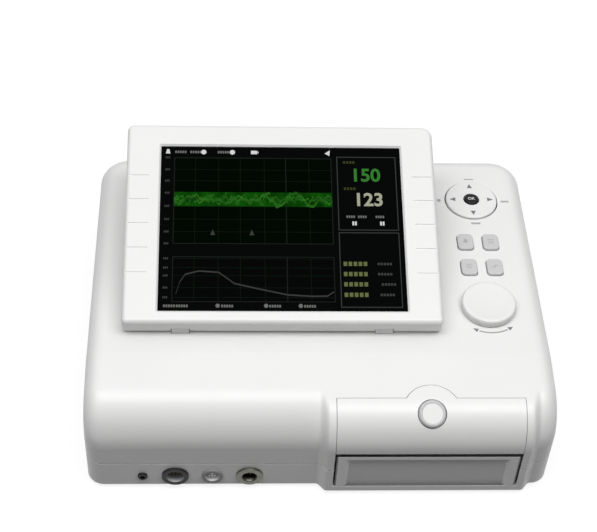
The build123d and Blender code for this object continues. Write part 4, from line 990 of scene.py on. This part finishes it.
def cross_item():
    """The cross recess in a screw head, as a thin dark plate of painted shade."""
    long, short = 2.4 * MM, 0.5 * MM
    mesh = plates([box_outline(0, 0, long, short), box_outline(0, 0, short, long)], 0.06 * MM)
    return added("cross_item", mesh)


def screws(name, places, place, body):
    """Small screw heads at places on a plane, and dark crosses in them as painted shade of their recesses."""
    for item, slot, height, ending in ((screw_item(), "steel", 0, ""),
                                       (cross_item(), "black_plastic", 1.27 * MM, "_recesses")):
        points = bpy.data.meshes.new("points")
        points.from_pydata([(x, y, height) for x, y in places], [], [])
        mesh = items.run(finishes[slot], points, Item=item)
        bpy.data.objects.remove(item)
        piece(name + ending, mesh, place, finishes[slot], body)


def rear_details():
    """Four screws in the rear panel and the nine pins of the data port."""
    low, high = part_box("rear_panel")
    centre = (low + high) / 2
    inset = 6.5 * MM
    xs, zs = (low.x + inset, high.x - inset), (low.z + inset, high.z - inset)
    places = [(centre.x - x, z - centre.z) for x in xs for z in zs]
    screws("panel_screws", places, facing_back(centre.x, high.y, centre.z), "base")
    port = middle("data_port")
    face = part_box("data_port")[1].y
    pitch, size, brass = 2.1 * MM, (0.7 * MM, 0.7 * MM, 5 * MM), finishes["brass"]
    meshes = []
    for count, up in ((5, 1.4 * MM), (4, -1.4 * MM)):
        start = (-(count - 1) / 2 * pitch, up, -10 * MM)
        meshes.append(bars(count, start, (pitch, 0, 0), size, brass))
    piece("data_pins", joined(meshes), facing_back(port.x, face, port.z), brass, "base")


def underside_details():
    """Four screws in the battery cover."""
    low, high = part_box("battery_cover")
    centre = (low + high) / 2
    reach = (high.x - low.x) / 2 - 4.5 * MM
    places = [(x * reach, y * reach) for x in (-1, 1) for y in (-1, 1)]
    under = Matrix.Translation((centre.x, centre.y, low.z)) @ Matrix.Rotation(math.pi, 4, "X")
    screws("cover_screws", places, under, "base")


def board_parts():
    """Chips on the boards. A board has its chips per square metre, a seed and an edge kept free."""
    boards = (("main_board", "base", 900.0, 11, 12 * MM), ("key_board", "base", 4000.0, 5, 2 * MM),
              ("display_board", "display", 5000.0, 9, 2 * MM))
    board_half, chip_half = 0.8 * MM, 0.45 * MM
    black = finishes["black_plastic"]
    for node, body, density, seed, edge in boards:
        low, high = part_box(node)
        centre = middle(node)
        if node == "display_board":
            width, depth = 150 * MM, 100 * MM
            place = Matrix.Translation(centre - screen_out * (board_half + chip_half)) @ screen_turn
        else:
            width, depth = high.x - low.x, high.y - low.y
            place = Matrix.Translation((centre.x, centre.y, low.z - chip_half))
        sizes = {"Width": width - 2 * edge, "Depth": depth - 2 * edge, "Density": density, "Seed": seed,
                 "Smallest": (1.0 * MM, 0.8 * MM, 0.9 * MM), "Largest": (5.0 * MM, 4.0 * MM, 0.9 * MM)}
        piece(f"{node}_parts", chips.run(black, **sizes), place, black, body)


rear_details()
underside_details()
board_parts()


# Camera, floor and light

def photo_camera():
    """The camera of the photograph, worked out from the corners of the picture and the deck."""
    data = bpy.data.cameras.new("camera")
    camera = added("camera", data)
    right = Vector((0.9986, -0.032, 0.0411))
    down = Vector((0.0045, -0.7332, -0.68))
    forward = Vector((0.0519, 0.6793, -0.732))
    eye = Vector((-0.067018, -0.698021, 0.843390))
    turn = Matrix((right, -down, -forward)).transposed()
    camera.matrix_world = Matrix.Translation(eye) @ turn.to_4x4()
    image_width, focal_pixels = 597, 1450
    data.sensor_width = 36
    data.lens = focal_pixels / image_width * data.sensor_width
    bpy.context.scene.camera = camera


def pale_floor():
    """A wide white floor that shows only a faint shadow and throws no light back at the object."""
    half = 4.0
    mesh = bpy.data.meshes.new("floor")
    corners = [(-half, -half, 0), (half, -half, 0), (half, half, 0), (-half, half, 0)]
    mesh.from_pydata(corners, [], [(0, 1, 2, 3)])
    finish = Finish("floor_paint", Emission_Strength=1.0)
    cloud = finish.noise(0.8)
    finish.show("Base Color", finish.mix(cloud, (0.17, 0.17, 0.17), (0.18, 0.18, 0.18)))
    finish.show("Emission Color", finish.mix(cloud, (0.84, 0.84, 0.84), (0.85, 0.85, 0.85)))
    finish.show("Roughness", 1.0)
    mesh.materials.append(finish.material)
    floor = added("floor", mesh)
    floor.visible_diffuse = False


def soft_box():
    """A long soft box above and in front of the user."""
    data = bpy.data.lights.new("soft_box", "AREA")
    data.shape = "RECTANGLE"
    data.size = 2.6
    data.size_y = 0.7
    data.energy = 30
    light = added("soft_box", data)
    height, distance = math.radians(78), 2.0
    light.location = (0, -distance * math.cos(height), distance * math.sin(height))
    light.rotation_euler = (math.radians(90) - height, 0, 0)
    light.visible_camera = False


def sky_light():
    """Soft light from above that fades towards the horizon."""
    world = bpy.data.worlds.new("world")
    bpy.context.scene.world = world
    world.use_nodes = True
    sky = Nodes(world.node_tree)
    way = sky.node("ShaderNodeTexCoord", output="Generated")
    height = sky.node("ShaderNodeSeparateXYZ", {}, {0: way}, "Z")
    lit = world.node_tree.nodes["Background"]
    sky.feed(lit.inputs["Color"], (1, 1, 1, 1))
    up = height.sum("MAXIMUM", height, 0.0)
    sky.feed(lit.inputs["Strength"], up * up * 1.04)
    seen = sky.node("ShaderNodeBackground", {}, {"Color": (1, 1, 1, 1), "Strength": 1.0})
    camera_ray = sky.node("ShaderNodeLightPath", output="Is Camera Ray")
    both = sky.node("ShaderNodeMixShader", {}, {0: camera_ray, 1: Value(sky, lit.outputs[0]), 2: seen})
    sky.tree.links.new(both.output, world.node_tree.nodes["World Output"].inputs[0])


photo_camera()
pale_floor()
soft_box()
sky_light()
bpy.context.scene.view_settings.view_transform = "Standard"
